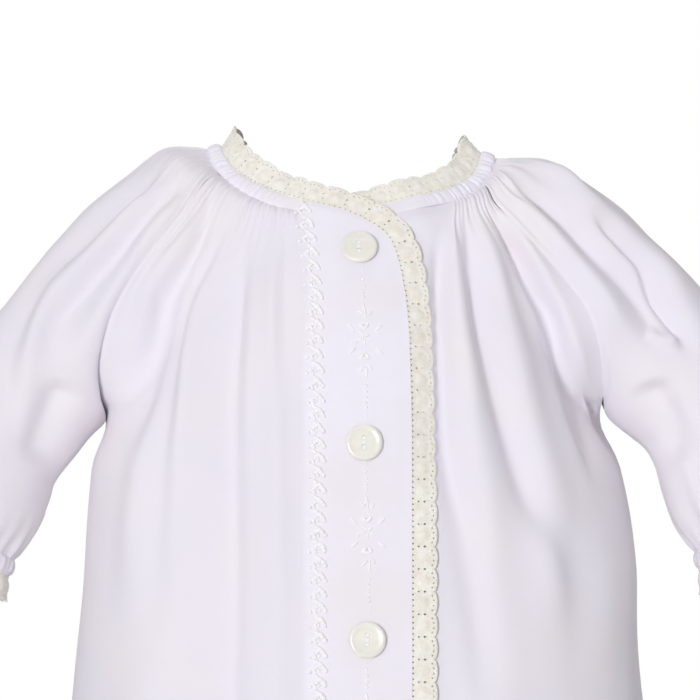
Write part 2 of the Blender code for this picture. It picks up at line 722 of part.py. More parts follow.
def neck_casing(name, turns, pressed=False):
    shares = np.array([0.0, 0.5, 1.0])
    rows = np.stack([below_neck(turns, share * CASING_WIDTH) for share in shares])
    normal = outward(rows)
    across = 4 * (shares * (1 - shares))[:, None]
    rise = CASING_RAISE + across * PUCKER_RISE * zigzag(len(turns))
    large = folds(rows, normal)
    if pressed:
        large = large - UNDER_DROP * under_lap(rows)
        rise = rise * (1 - under_lap(rows))
    skin = rows + normal * large[..., None]
    solid_between(name, skin + normal * rise[..., None], skin - normal * CLOTH, batiste())


def scallop(count):
    """0 at each notch of the edging and 1 between, for a strip of count steps."""
    return np.minimum(1.0, 1.3 * np.sin(math.pi * (np.arange(count + 1) % SCALLOP_STEPS) / SCALLOP_STEPS))


def edging_grid(seam, across, normal, rise):
    """Rows from the sewn edge to the scallops, which wave in and out by the rise."""
    steps = len(seam) - 1
    reach = EDGING_WIDTH + SCALLOP_RISE * scallop(steps)
    wave = rise * np.sin(math.pi * np.arange(steps + 1) / SCALLOP_STEPS)
    rows = [
        seam + across * (SEAM_GAP + share * reach)[:, None] + normal * (share * share * wave)[:, None]
        for share in (0.0, 0.5, 1.0)
    ]
    return np.stack(rows)


def evenly(points, pitch):
    """The path cut into whole scallops. Columns past the first three are read along with it."""
    marks = np.concatenate([[0], np.cumsum(np.linalg.norm(np.diff(points[:, :3], axis=0), axis=1))])
    count = SCALLOP_STEPS * max(1, round(marks[-1] / pitch))
    at = np.linspace(0, marks[-1], count + 1)
    return np.stack([np.interp(at, marks, points[:, k]) for k in range(points.shape[1])], axis=1)


def along_path(points):
    return unit(np.gradient(points, axis=0))


def neck_edging_rows(turns, pressed=False):
    """The edging round the neck, which stands up from the seam with its own lean."""
    fine = np.column_stack([neck_at(turns), turns])
    cut = evenly(fine, SCALLOP_PITCH)
    seam, turn = cut[:, :3], cut[:, 3]
    lean = neck_value(turn, "lean")[:, None]
    inward = unit(np.stack([NECK_MIDDLE - seam[:, 0], -seam[:, 1], np.zeros(len(seam))], axis=-1))
    across = np.cos(lean) * (0, 0, 1) + np.sin(lean) * inward
    tangent = along_path(seam)
    across = unit(across - tangent * (across * tangent).sum(-1, keepdims=True))
    normal = unit(np.cross(tangent, across))
    normal = np.where((normal * inward).sum(-1, keepdims=True) > 0, -normal, normal)
    if pressed:
        seam = seam - outward(seam) * (UNDER_DROP * under_lap(seam))[:, None]
    return edging_grid(seam, across, normal, RUFFLE_RISE), normal


def strip(name, rows, normal):
    solid_between(name, rows, rows - normal * EDGING_THICK, eyelet_cotton())


def lap_edging():
    """The edging from the corner of the lap down to the hem, flat on the form."""
    corner = path_through(LAP_CORNER_ROWS, 30)
    edge = path_through(LAP_EDGE_ROWS, 60)[1:]
    down = np.column_stack([np.full(30, LAP_EDGE), np.linspace(edge[-1][1], HEM_HEIGHT, 31)[1:]])
    seen = np.concatenate([corner, edge, down])
    seam = evenly(on_front(seen[:, 0], seen[:, 1]), SCALLOP_PITCH)
    normal = outward(seam)
    across = unit(np.cross(normal, along_path(seam)))
    across = np.where((across[:, :1] + across[:, 2:]) < 0, -across, across)
    rows = seated(edging_grid(seam, across, normal, 0.0)[[0, 2]])
    normal = outward(rows)
    rows = rows + normal * folds(rows, normal)[..., None]
    rows[:, 0] += along_path(seam)[0] * 2 * SEAM_GAP
    strip("edging_lap", rows, normal)


def cuff(side):
    """The gathered casing at the wrist, and the edging below it."""
    name = "right" if side < 0 else "left"
    gap = SEAM_GAP / SLEEVE_LENGTH
    shares = np.linspace(CUFF_SEAM_SHARE + 2 * gap, CUFF_EDGE_SHARE - gap, 3)
    rings = np.stack([sleeve_ring(share, side, 2 * CUFF_PUCKERS)[:-1] for share in shares])
    middles = np.stack([sleeve_frame(share, side)[0] for share in shares])[:, None]
    out = unit(rings - middles)
    rise = CASING_RAISE + PUCKER_RISE * np.array([0.0, 1.0, 0.0])[:, None] * zigzag(2 * CUFF_PUCKERS)
    outer = rings + out * rise[..., None]
    solid_between("cuff_casing_" + name, outer, rings - out * CLOTH, batiste(), closed=True)

    girth = 2 * math.pi * sleeve_frame(CUFF_EDGE_SHARE, side)[2]
    steps = SCALLOP_STEPS * round(girth / SCALLOP_PITCH)
    reach = (EDGING_WIDTH + SCALLOP_RISE * scallop(steps)[:-1]) / (EDGING_WIDTH + SCALLOP_RISE)
    start = sleeve_ring(CUFF_EDGE_SHARE + gap, side, steps)[:-1]
    end = sleeve_ring(1.0, side, steps)[:-1]
    rings = np.stack([start, start + (end - start) * reach[:, None]])
    inner = rings - unit(start - sleeve_frame(CUFF_EDGE_SHARE, side)[0]) * EDGING_THICK
    solid_between("edging_cuff_" + name, rings, inner, eyelet_cotton(), closed=True)


# The buttons


def turned(profile, sides):
    """A closed shape turned about Z from rows of radius and height."""
    mesh = bmesh.new()
    angles = [2 * math.pi * k / sides for k in range(sides)]
    rings = [[mesh.verts.new((r * math.cos(a), r * math.sin(a), h)) for a in angles] for r, h in profile]
    for low, high in zip(rings[:-1], rings[1:]):
        for k in range(sides):
            mesh.faces.new([low[k], low[(k + 1) % sides], high[(k + 1) % sides], high[k]])
    mesh.faces.new(rings[0][::-1])
    mesh.faces.new(rings[-1])
    data = bpy.data.meshes.new("turned")
    mesh.to_mesh(data)
    mesh.free()
    return data


def button_mesh():
    blank = bpy.data.objects.new("button_blank", turned(BUTTON_PROFILE, BUTTON_SIDES))
    bpy.context.scene.collection.objects.link(blank)
    for side in (-1, 1):
        reach = BUTTON_THICK * 2
        bore = ((HOLE_RADIUS, -reach), (HOLE_RADIUS, reach))
        drill = bpy.data.objects.new("drill", turned(bore, HOLE_SIDES))
        drill.location = (0, side * HOLE_PITCH / 2, 0)
        drill.hide_render = True
        drill.display_type = "WIRE"
        bpy.context.scene.collection.objects.link(drill)
        cut = blank.modifiers.new("hole", "BOOLEAN")
        cut.operation = "DIFFERENCE"
        cut.object = drill
    bpy.context.view_layer.update()
    data = bpy.data.meshes.new_from_object(blank.evaluated_get(bpy.context.evaluated_depsgraph_get()))
    for helper in [ob for ob in bpy.data.objects if ob.name.startswith(("drill", "button_blank"))]:
        bpy.data.objects.remove(helper)
    return data


def add_buttons():
    data = button_mesh()
    for number in range(BUTTON_COUNT):
        height = BUTTON_TOP - number * BUTTON_PITCH
        x = float(np.interp(-height, [row[0] for row in BUTTON_LINE], [row[1] for row in BUTTON_LINE]))
        seat = on_front(x, height)
        normal = outward(seat)
        seat = seat + normal * (folds(seat, normal) + BUTTON_CLEAR)
        up = unit(np.array([0.0, 0.0, 1.0]) - normal * normal[2])
        name = f"button_{number + 1}"
        piece = bpy.data.objects.new(name, data)
        if not data.materials:
            data.materials.append(pearl())
        turn = Matrix((np.cross(up, normal), up, normal)).transposed()
        piece.matrix_world = Matrix.Translation(Vector(seat)) @ turn.to_4x4()
        bpy.context.scene.collection.objects.link(piece)
    data.shade_smooth()
    data.set_sharp_from_angle(angle=math.radians(35))


panel("front_right", front_right_grid(), GATHERED_STEPS, free_edge=True)
panel("front_left", front_left_grid(), GATHERED_STEPS, pressed=True, free_edge=True)
panel("back", back_grid(), BACK_STEPS)
panel("sleeve_right", sleeve_grid(-1), SLEEVE_STEPS, cuffed=True)
panel("sleeve_left", sleeve_grid(1), SLEEVE_STEPS, cuffed=True)

neck_casing("casing_right", np.linspace(NECK_SPLIT, neck_turn(LAP_START) - LAP_STOP, 2 * NECK_PUCKERS + 1))
neck_casing(
    "casing_left", np.linspace(360 - NECK_SPLIT, neck_turn(UNDER_EDGE), 2 * NECK_PUCKERS + 1), pressed=True
)
strip("edging_neck_right", *neck_edging_rows(np.linspace(NECK_SPLIT, neck_turn(LAP_START) - LAP_STOP, 200)))
strip(
    "edging_neck_left",
    *neck_edging_rows(np.linspace(360 - NECK_SPLIT, neck_turn(UNDER_EDGING_START), 200), pressed=True),
)
lap_edging()
for side in (-1, 1):
    cuff(side)
add_buttons()
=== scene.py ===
"""The looks of a newborn's daygown of white batiste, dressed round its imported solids.

It has two fronts, a back and two raglan sleeves gathered into a soft neck casing, cream
eyelet edging, pearl buttons, a column of feather stitch and small white motifs between the
buttons. Metres, +Z up, the front faces -Y, and -X is the wearer's right.
"""

import math

import bmesh
import bpy
import numpy as np
from mathutils import Matrix, Vector, geometry, noise


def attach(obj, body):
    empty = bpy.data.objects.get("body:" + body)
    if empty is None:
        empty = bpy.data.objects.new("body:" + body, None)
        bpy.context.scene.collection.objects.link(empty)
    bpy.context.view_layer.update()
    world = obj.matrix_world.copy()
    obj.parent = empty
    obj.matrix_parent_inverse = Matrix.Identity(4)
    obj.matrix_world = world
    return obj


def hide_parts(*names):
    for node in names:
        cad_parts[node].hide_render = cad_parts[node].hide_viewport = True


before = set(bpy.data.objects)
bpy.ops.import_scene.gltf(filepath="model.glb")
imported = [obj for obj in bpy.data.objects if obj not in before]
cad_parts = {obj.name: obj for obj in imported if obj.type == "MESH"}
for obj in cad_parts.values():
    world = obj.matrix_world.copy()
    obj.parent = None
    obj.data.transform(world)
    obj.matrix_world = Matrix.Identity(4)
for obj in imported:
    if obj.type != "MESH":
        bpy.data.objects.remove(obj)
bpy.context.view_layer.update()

# ---- Right front
# Fine white cotton batiste, cut with a raglan armhole, gathered at the neck and folded back
# along its free edge into a flat band of three layers. It laps over the left front.

HEM_HEIGHT = -0.505
CASING_WIDTH = 0.0052
SEAM_GAP = 0.0002

# How far the worn gown reaches from the middle of the neck, one row for each height
BODY_ROWS = 0.001 * np.array((  # height, right, left, front, back in mm
    (12, 30, 30, 18, 20), (-4, 41, 40, 28, 32), (-17, 49, 48, 37.5, 40), (-33, 59, 58, 48.5, 47.5),
    (-60, 73, 71, 60, 54), (-92, 88.5, 83, 66.5, 58), (-112, 90.5, 90, 68.5, 60), (-131, 91.5, 95.5, 70, 61.5),
    (-166, 94.7, 98.5, 72, 64.5), (-300, 110, 114, 82, 78), (-420, 127, 130, 93, 91), (-520, 141, 144, 102, 101),
))
BODY_SQUARENESS = 2.25
# The middle of each sleeve and its radius, from inside the neck to the cuff
SLEEVE_ROWS = 0.001 * np.array((  # right out, right height, left out, left height, forward, radius in mm
    (28, -30, 28, -34, 0, 33.5), (48, -26.5, 48, -32, 0, 32.5), (65, -36, 66, -38, 1, 30.8),
    (82, -47.5, 84, -50, 2, 28.8), (104, -70, 107, -71, 3, 26.8), (120.5, -89, 123, -88.5, 5, 25.5),
    (131.5, -107.5, 131, -106, 8, 25.5), (135, -123, 134.5, -122, 10, 24.8), (138.5, -136.5, 137, -135, 12, 18.2),
    (140, -142.5, 138, -141, 12.5, 17.6), (142.5, -152, 140, -150.5, 13, 19.2),
))
JOIN_AT_SHOULDER, JOIN_AT_UNDERARM = 0.018, 0.008
JOIN_HEIGHTS = (-0.088, -0.050)
OWN_FORM_SHARES = (0.40, 0.75)
SEAM_REACH = 0.2

# The neck seam: turn 0 is the middle of the back, 90 the wearer's right shoulder, 180 the front
NECK_MIDDLE, NECK_HALF_WIDTH, NECK_HALF_DEPTH = -0.002, 0.0460, 0.0380
NECK_ROWS = (  # turn, height, lean of the edging
    (0, -0.016, -1.2), (40, -0.0125, -1), (68, -0.0005, 0.45), (90, 0.005, 0.6), (100, 0.0026, 0.58),
    (112, -0.0022, 0.52), (135, -0.01, 0.6), (160, -0.0159, 0.72), (180, -0.0172, 0.8), (200, -0.0152, 0.8),
    (225, -0.0118, 0.75), (248, -0.0062, 0.75), (270, 0.0028, 0.8), (292, -0.003, 0.5), (320, -0.0125, -1),
    (360, -0.016, -1.2),
)
RAGLAN_TURN = 25
RAGLAN_ROWS = 0.001 * np.array((  # right, left, forward, height in mm
    (56, 46.5, 26, -14), (63.5, 54, 33, -21.5), (77, 69.5, 36, -38.5), (86.5, 82, 32, -57), (91.5, 86, 20, -75),
    (89.3, 86.5, 0, -92.5),
))
LAP_CORNER_ROWS = 0.001 * np.array((  # across and up, in mm
    (-17.4, -16.6), (-10, -18), (-3.5, -20), (1.8, -22.4), (6.3, -25),
))
LAP_EDGE_ROWS = 0.001 * np.array((  # across and up, in mm
    (6.3, -25), (9.4, -27.5), (11.8, -30.8), (13.7, -35.5), (15.5, -43), (17.4, -56), (18.4, -76), (18.8, -92.5),
))
UNDERARM_HEIGHT = RAGLAN_ROWS[-1, -1]
LAP_EDGE = 0.0188
LAP_START = -0.0180
UPPER_SHARES = np.linspace(0, 1, 12) ** 1.25
LOWER_HEIGHTS = (-0.118, -0.145, -0.180, -0.240, -0.320, -0.410, HEM_HEIGHT)
GATHERED_STEPS, BAND_STEPS = 16, 5

# Folds: the middle line seen from the front, x and z of each place, the half width at its top and
# foot, the rise, all in mm, and how much steeper the side toward the wearer's right is
FRONT_FOLDS = (
    ((-49, -13, -53, -24, -59, -38, -65, -47, -70, -68, -74.5, -86, -82, -110), 3.2, 8, -4.2, 0.35),
    ((-43.5, -16.7, -50, -32, -57, -45, -61, -57, -64.7, -86, -68, -140, -72, -200), 2.2, 8, -3.4, -0.3),
    ((-46, -15, -55, -36, -61, -50, -67.5, -78, -73, -110, -77, -170), 2.2, 7, 2.8, 0),
    ((-46, -18, -54, -45, -60, -80, -67, -140, -72, -220, -75, -330), 3, 17, 3.6, -0.3),
    ((-38.5, -19, -41.5, -45, -44, -80, -44.5, -140, -45, -200, -46, -300), 3.5, 11.5, -4.4, -0.5),
    ((-29, -21, -29, -55, -27.5, -105, -27.5, -170, -28, -240), 2.5, 7, 1.4, 0),
    ((-24, -22, -25.5, -50, -26.2, -90), 2.2, 5, -1.1, 0.4),
    ((44, -14, 50.5, -23.7, 55.7, -33.8, 61.2, -44.9, 66.1, -53.9, 69.9, -65.4,
      73.1, -77.3, 75.9, -86.3, 83, -118), 3.2, 4.8, -4.6, 0.65),
    ((47, -13.5, 54, -23.5, 59.5, -33, 65.5, -44, 71, -54, 75.5, -68, 79, -90), 2.2, 5.5, 3.2, 0.2),
    ((40, -16.5, 46, -33, 51.5, -55, 58, -85, 66, -120, 72, -170), 2.5, 9, 2.8, 0.2),
    ((36, -18, 40, -40, 43.5, -65, 52.5, -97, 59.5, -119, 73.1, -140.6, 78, -175), 2.2, 7.5, -3, 0.3),
    ((32.5, -19, 34.5, -45, 37.5, -75, 43.5, -110, 50, -150), 2.2, 8, 2, 0),
    ((29, -20.5, 29.5, -50, 30.5, -80, 31.7, -104.7, 37.2, -128.8, 41, -160, 44, -200), 2.2, 7, -3.4, 0),
    ((-58, -8, -61.9, -10.1, -76.9, -24.4, -84.6, -33.8, -96, -47, -106.8, -59.2, -114, -74), 2.8, 6.2, -3, 0.3),
    ((-60, -3, -80, -15, -98, -30, -109.3, -39.7, -118, -56, -122, -85, -123, -112), 2.8, 6, -2.6, 0),
    ((-59, -6, -78, -20.5, -93, -35, -108, -50, -116.5, -72, -121, -100), 2.8, 6, 2.6, 0),
    ((-56, -11, -71, -25, -81, -40, -92, -60, -100, -78), 2.8, 5.5, 2.4, 0),
    ((53.6, -9.4, 72.4, -23.7, 84.9, -36.2, 97.1, -48.4, 106.5, -63.3, 112, -78), 2.8, 6.5, -3.4, 0.2),
    ((80, -19, 92.9, -31, 99.9, -37.9, 105.8, -49.8, 113.4, -61.6, 118, -74), 2.2, 3.4, -3.6, 0.6),
    ((56, -5, 61.2, -3.8, 78.6, -16.7, 97.1, -31.7, 109.6, -44.9, 122, -64), 2.8, 5.5, 2.8, 0),
    ((50.5, -11.5, 69, -27.5, 80, -40, 91, -55, 99, -70), 2.8, 5.5, 2.8, 0),
    ((102, -61, 108, -64.5, 115, -64), 2.5, 2.5, 2.2, 0),
    ((-102, -78, -108, -92, -113, -110), 6, 7, -3.8, 0),
    ((102, -78, 108, -92, 113, -110), 6, 7, -3.8, 0),
    ((-128, -88, -131, -105, -134, -122, -136, -134), 3, 3.6, -2, 0),
    ((-140, -92, -143, -110, -144, -128), 3, 3.6, 1.6, 0),
    ((129, -86, 132, -104, 134, -122, 136, -134), 3, 3.6, -2, 0),
    ((141, -92, 144, -110, 144, -128), 3, 3.6, 1.6, 0),
)
BACK_FOLDS = (
    ((-60, -25, -70, -60, -78, -110, -84, -180), 3, 9, -3.8, 0.3),
    ((-46, -18, -54, -60, -60, -110, -66, -200), 3, 8, 2.6, 0),
    ((-30, -16, -36, -60, -42, -130, -50, -260), 3, 10, 3, 0.3),
    ((-20, -15, -23, -55, -26, -120, -30, -240), 3, 8, -2, 0),
    ((-8, -14, -10, -70, -14, -150, -16, -300), 3, 10, -2.8, 0.2),
    ((4, -14, 4, -60, 6, -130, 8, -240), 3, 8, 2, 0),
    ((16, -14, 18, -70, 20, -140, 26, -280), 3, 10, 3, -0.3),
    ((27, -15, 31, -60, 36, -120, 42, -220), 3, 8, -2.2, 0),
    ((36, -18, 44, -70, 52, -130, 60, -240), 3, 9, -3, 0.2),
    ((58, -24, 68, -60, 76, -110, 82, -180), 3, 9, 3, 0),
    ((-70, -12, -94, -34, -112, -60, -124, -90), 3.5, 6.5, -3, 0.2),
    ((-60, -14, -80, -36, -96, -60, -106, -86), 3.5, 6, 2.6, 0),
    ((70, -12, 94, -34, 112, -60, 124, -90), 3.5, 6.5, -3, 0.2),
    ((60, -14, 80, -36, 96, -60, 106, -86), 3.5, 6, 2.6, 0),
)
FLUTE_ROWS = (  # turn and half width in degrees, rise at the hem
    (14, 10, 0.007), (42, 9, 0.009), (73, 8, 0.006), (108, 9, 0.008), (136, 8, 0.007), (222, 9, 0.007),
    (252, 10, 0.009), (286, 9, 0.007), (314, 9, 0.008), (342, 9, 0.007),
)
FLUTE_TOP = -0.150
FOLD_DEPTH = 1.3  # the fine cloth takes its folds a little deeper than the solid does


def through(at, marks, values):
    """A smooth curve through the values at the marks, read at the given places."""
    marks, values = np.asarray(marks, float), np.asarray(values, float)
    slopes = np.gradient(values, marks, axis=0)
    at = np.clip(at, marks[0], marks[-1])
    i = np.clip(np.searchsorted(marks, at) - 1, 0, len(marks) - 2)
    span = marks[i + 1] - marks[i]
    t = (at - marks[i]) / span
    if values.ndim > 1:
        extra = (1,) * (values.ndim - 1)
        t, span = t.reshape(-1, *extra), span.reshape(-1, *extra)
    return (
        values[i] * (2 * t**3 - 3 * t**2 + 1)
        + values[i + 1] * (3 * t**2 - 2 * t**3)
        + slopes[i] * span * (t**3 - 2 * t**2 + t)
        + slopes[i + 1] * span * (t**3 - t**2)
    )


def soft_step(x, low, high):
    t = np.clip((x - low) / (high - low), 0, 1)
    return t * t * (3 - 2 * t)


def lengths(points):
    """How far along a line of points each of them lies."""
    return np.concatenate([[0], np.linalg.norm(np.diff(points, axis=0), axis=1).cumsum()])


def path_through(points, count):
    """A smooth path of count points through a few points, evenly spaced along it."""
    marks = lengths(points)
    return through(np.linspace(0, marks[-1], count), marks, points)


def read_at(at, marks, values):
    """Each column of the values, read straight between the marks."""
    return np.stack([np.interp(at, marks, column) for column in values.T], axis=-1)


def unit(vectors):
    return vectors / np.maximum(np.linalg.norm(vectors, axis=-1, keepdims=True), 1e-9)


def sleeve_line(side):
    """The middle of a sleeve as a fine path of places, with its radius in the fourth column."""
    out, height = SLEEVE_ROWS[:, (0, 1) if side < 0 else (2, 3)].T
    return path_through(np.stack([out * side, -SLEEVE_ROWS[:, 4], height, SLEEVE_ROWS[:, 5]], axis=1), 26)


SLEEVE_LINES = {side: sleeve_line(side) for side in (-1, 1)}


def body_reach(heights):
    """How far the body reaches to the right, left, front and back."""
    return [through(heights, BODY_ROWS[::-1, 0], BODY_ROWS[::-1, k]) for k in range(1, 5)]


def body_distance(p):
    right, left, front, back = body_reach(p[..., 2])
    across = np.abs(p[..., 0] / np.where(p[..., 0] < 0, right, left)) ** BODY_SQUARENESS
    deep = np.abs(p[..., 1] / np.where(p[..., 1] < 0, front, back)) ** BODY_SQUARENESS
    share = np.maximum((across + deep) ** (1 / BODY_SQUARENESS), 0.2)
    return np.hypot(p[..., 0], p[..., 1]) * (1 - 1 / share)


def sleeve_distance(p, side):
    line = SLEEVE_LINES[side]
    a, d = line[:-1, :3], np.diff(line[:, :3], axis=0)
    along = np.clip(((p[..., None, :] - a) * d).sum(-1) / (d * d).sum(-1), 0, 1)
    off = np.linalg.norm(p[..., None, :] - a - along[..., None] * d, axis=-1)
    return (off - line[:-1, 3] - along * np.diff(line[:, 3])).min(-1)


def joined(a, b, soft):
    share = np.maximum(soft - np.abs(a - b), 0) / soft
    return np.minimum(a, b) - share * share * soft / 4


def form(p):
    """How far outside the worn gown's surface each point lies."""
    soft = JOIN_AT_UNDERARM + (JOIN_AT_SHOULDER - JOIN_AT_UNDERARM) * soft_step(p[..., 2], *JOIN_HEIGHTS)
    body = body_distance(p)
    return joined(joined(body, sleeve_distance(p, -1), soft), sleeve_distance(p, 1), soft)


def outward(p, distance=form):
    axes = np.eye(3) * 0.0004
    return unit(np.stack([distance(p + axis) - distance(p - axis) for axis in axes], axis=-1))


def moved_onto(p, distance, way):
    """The points moved in or out until they lie on a form."""
    for _ in range(12):
        p = p - way(p) * distance(p)[..., None] * 0.9
    return p


def seated(p):
    return moved_onto(p, form, outward)


def seated_on_body(p):
    """The points moved level onto the body without its sleeves."""
    return moved_onto(p, body_distance, lambda q: unit(q * (1, 1, 0)))


def fold_rise(p, rows, facing):
    total = np.zeros(p.shape[:-1])
    for line, width_top, width_foot, rise, steeper in rows:
        path = path_through(np.reshape(line, (-1, 2)) * 0.001, 18)
        a, d = path[:-1], np.diff(path, axis=0)
        away = p[..., None, [0, 2]] - a
        along = np.clip((away * d).sum(-1) / (d * d).sum(-1), 0, 1)
        off = np.linalg.norm(away - along[..., None] * d, axis=-1)
        nearest = off.argmin(-1)[..., None]
        share = (nearest + np.take_along_axis(along, nearest, -1))[..., 0] / len(a)
        cross = d[:, 0] * away[..., 1] - d[:, 1] * away[..., 0]
        right = np.take_along_axis(cross, nearest, -1)[..., 0] < 0
        width = (width_top + (width_foot - width_top) * share) * np.where(right, 1 - steeper / 2, 1 + steeper / 2)
        ends = soft_step(share, 0.0, 0.18) * (1 - soft_step(share, 0.72, 1.0))
        total += rise * 0.001 * ends * np.exp(-((off.min(-1) / (width * 0.001)) ** 2))
    return total * facing


def flute_rise(p):
    turn = np.degrees(np.arctan2(-p[..., 0], p[..., 1])) % 360
    total = np.zeros(p.shape[:-1])
    for middle, half_turn, rise in FLUTE_ROWS:
        total += rise * np.exp(-((((turn - middle + 180) % 360 - 180) / half_turn) ** 2))
    return total * soft_step(FLUTE_TOP - p[..., 2], 0, FLUTE_TOP - HEM_HEIGHT)


def folds(p, normal):
    front, back = (soft_step(way * normal[..., 1], 0.05, 0.45) for way in (-1, 1))
    laid = fold_rise(p, FRONT_FOLDS, front) + fold_rise(p, BACK_FOLDS, back)
    return FOLD_DEPTH * laid + flute_rise(p)


def neck_value(turn, k):
    rows = np.array(NECK_ROWS)
    turns = np.concatenate([[rows[-2, 0] - 360], rows[:, 0], [rows[1, 0] + 360]])
    values = np.concatenate([rows[-2:-1, k], rows[:, k], rows[1:2, k]])
    return through(np.asarray(turn, float) % 360, turns, values)


def neck_at(turn):
    around = np.radians(turn)
    across = NECK_MIDDLE - NECK_HALF_WIDTH * np.sin(around)
    return np.stack([across, NECK_HALF_DEPTH * np.cos(around), neck_value(turn, 1)], axis=-1)


def neck_turn(x):
    """The turn at which the front of the neck seam passes x."""
    return 180 + math.degrees(math.asin((x - NECK_MIDDLE) / NECK_HALF_WIDTH))


def below_neck(turn, distance):
    """Points on the form below the neck seam, square to it."""
    top = neck_at(turn)
    tangent = unit(neck_at(turn + 1.0) - neck_at(turn - 1.0))
    down = unit(np.cross(outward(top), tangent))
    return top + np.where(down[..., 2:] > 0, -down, down) * distance


def casing_foot(turn):
    return below_neck(turn, CASING_WIDTH)


def raglan(side, front):
    """A raglan seam from the casing to the underarm."""
    turn = 90.0 + RAGLAN_TURN * (1 if front else -1)
    top = casing_foot(np.array([turn if side < 0 else 360 - turn]))
    right, left, forward, height = RAGLAN_ROWS.T
    rows = np.stack([(right if side < 0 else left) * side, forward * (-1 if front else 1), height], axis=1)
    seam = read_at(UPPER_SHARES, np.linspace(0, 1, 80), path_through(np.concatenate([top, rows]), 80))
    held = soft_step(UPPER_SHARES, 0.0, 0.1) * (1 - soft_step(UPPER_SHARES, *OWN_FORM_SHARES))
    return seam + (seated(seam) - seam) * held[:, None]


def ring_point(height, turn):
    right, left, front, back = body_reach(np.asarray(height, float))
    around = np.radians(turn)
    wide = np.where(np.sin(around) > 0, right, left)
    deep = np.where(np.cos(around) < 0, front, back)
    return np.stack([-wide * np.sin(around), deep * np.cos(around), np.broadcast_to(height, around.shape)], -1)


def turn_at(height, x):
    """The turn round the skirt at which the front passes x."""
    return 180 + math.degrees(math.asin(x / float(body_reach(np.array(height))[0 if x < 0 else 1])))


def on_front(x, z):
    """The place on the front of the form that is seen at x and z."""
    x, z = np.broadcast_arrays(np.asarray(x, float), np.asarray(z, float))
    near, far = np.full(x.shape, -0.14), np.zeros(x.shape)
    for _ in range(34):
        middle = (near + far) / 2
        outside = form(np.stack([x, middle, z], -1)) > 0
        near, far = np.where(outside, middle, near), np.where(outside, far, middle)
    return np.stack([x, (near + far) / 2, z], -1)


def patch(top, foot, first, last, on_own_form, lapped=False):
    """The grid between four edges, the upper rows of a panel: top and foot run across it."""
    u = np.linspace(0, 1, len(top))[None, :, None]
    v = UPPER_SHARES[:, None, None]
    foot = foot.copy()
    foot[0], foot[-1] = first[-1], last[-1]
    corners = (1 - v) * ((1 - u) * top[0] + u * top[-1]) + v * ((1 - u) * foot[0] + u * foot[-1])
    rows = (1 - v) * top + v * foot + (1 - u) * first[:, None] + u * last[:, None] - corners
    whole = rows + (seated(rows) - rows) * soft_step(np.arange(len(rows)), 0, 2.2)[:, None, None]
    held = soft_step(u, 0, SEAM_REACH) * (1 if lapped else soft_step(1 - u, 0, SEAM_REACH))
    own = rows + (on_own_form(rows) - rows) * held
    return whole + (own - whole) * soft_step(v, *OWN_FORM_SHARES)


def spread(marks, counts):
    parts = [np.linspace(a, b, n, endpoint=False) for a, b, n in zip(marks[:-1], marks[1:], counts)]
    return np.concatenate([*parts, [marks[-1]]])


def body_row(height, turns_at):
    return seated_on_body(ring_point(height, turns_at(height)))


def skirt(turns_at):
    return np.stack([body_row(height, turns_at) for height in LOWER_HEIGHTS])


def front_right_grid():
    """From the raglan seam to the lapped edge. The last steps across it are the flat lapped band."""
    gathered = np.linspace(90 + RAGLAN_TURN, neck_turn(LAP_START), GATHERED_STEPS + 1)
    top = np.concatenate([casing_foot(gathered), on_front(*path_through(LAP_CORNER_ROWS, BAND_STEPS).T)])
    edge = read_at(UPPER_SHARES, np.linspace(0, 1, 80), path_through(LAP_EDGE_ROWS, 80))
    last = on_front(*edge.T)

    def turns_at(height):
        marks = (90.0, turn_at(height, LAP_START), turn_at(height, LAP_EDGE))
        return spread(marks, (GATHERED_STEPS, BAND_STEPS))

    foot = body_row(UNDERARM_HEIGHT, turns_at)
    upper = patch(top, foot, raglan(-1, True), last, seated_on_body, True)
    upper[:, -1] = last
    return np.concatenate([upper, skirt(turns_at)])


def refined(grid, rows, columns):
    """The grid read along smooth curves at more rows and columns."""
    fine = through(np.linspace(0, len(grid) - 1, rows), np.arange(len(grid)), grid)
    fine = np.swapaxes(fine, 0, 1)
    fine = through(np.linspace(0, len(fine) - 1, columns), np.arange(len(fine)), fine)
    return np.swapaxes(fine, 0, 1)


def across_and_down(grid):
    """The flat place of each point of the cloth in metres: across from its middle, and down."""
    across = np.linalg.norm(np.diff(grid, axis=1, prepend=grid[:, :1]), axis=-1).cumsum(1)
    down = np.linalg.norm(np.diff(grid, axis=0, prepend=grid[:1]), axis=-1).cumsum(0)
    return across - across[:, -1:] / 2, down


def square_to(grid):
    return unit(np.cross(np.gradient(grid, axis=0), np.gradient(grid, axis=1)))


def facing_out(grid, rough):
    """The direction straight out of a grid of points, on the side that the rough one gives."""
    out = square_to(grid)
    return out * np.sign((out * rough).sum())


def gathers(u, down, seed, count, between, height, reach):
    """Soft uneven ridges that start at a gathered edge, fan out with the cloth and fade down it."""
    draw = np.random.default_rng(seed)
    pitch = (between[1] - between[0]) / count
    middles = between[0] + pitch * (np.arange(count) + 0.5 + draw.uniform(-0.32, 0.32, count))
    total = np.zeros(np.broadcast(u, down).shape)
    free = soft_step(u, 0, 0.03) * soft_step(1 - u, 0, 0.03)
    for middle in middles:
        width = pitch * draw.uniform(0.22, 0.40)
        length = reach * draw.uniform(0.45, 1.0) * (1.9 if draw.uniform() < 0.3 else 1.0)
        wander = pitch * draw.uniform(-0.9, 0.9) * soft_step(down, 0, 0.05)
        rise = height * draw.uniform(0.55, 1.15)
        widening = 1 + down / length * 0.5
        total += rise * np.exp(-(((u - middle - wander) / (width * widening)) ** 2)) * np.exp(-((down / length) ** 1.4))
    held = (0.35 + 0.65 * soft_step(down, 0, 0.004)) * free
    return (total - height * 0.35 * np.exp(-((down / reach) ** 1.4))) * held


RUMPLE_SIZE, RUMPLE_RISE, RUMPLE_SHIFT = 0.020, 0.0011, 14.6


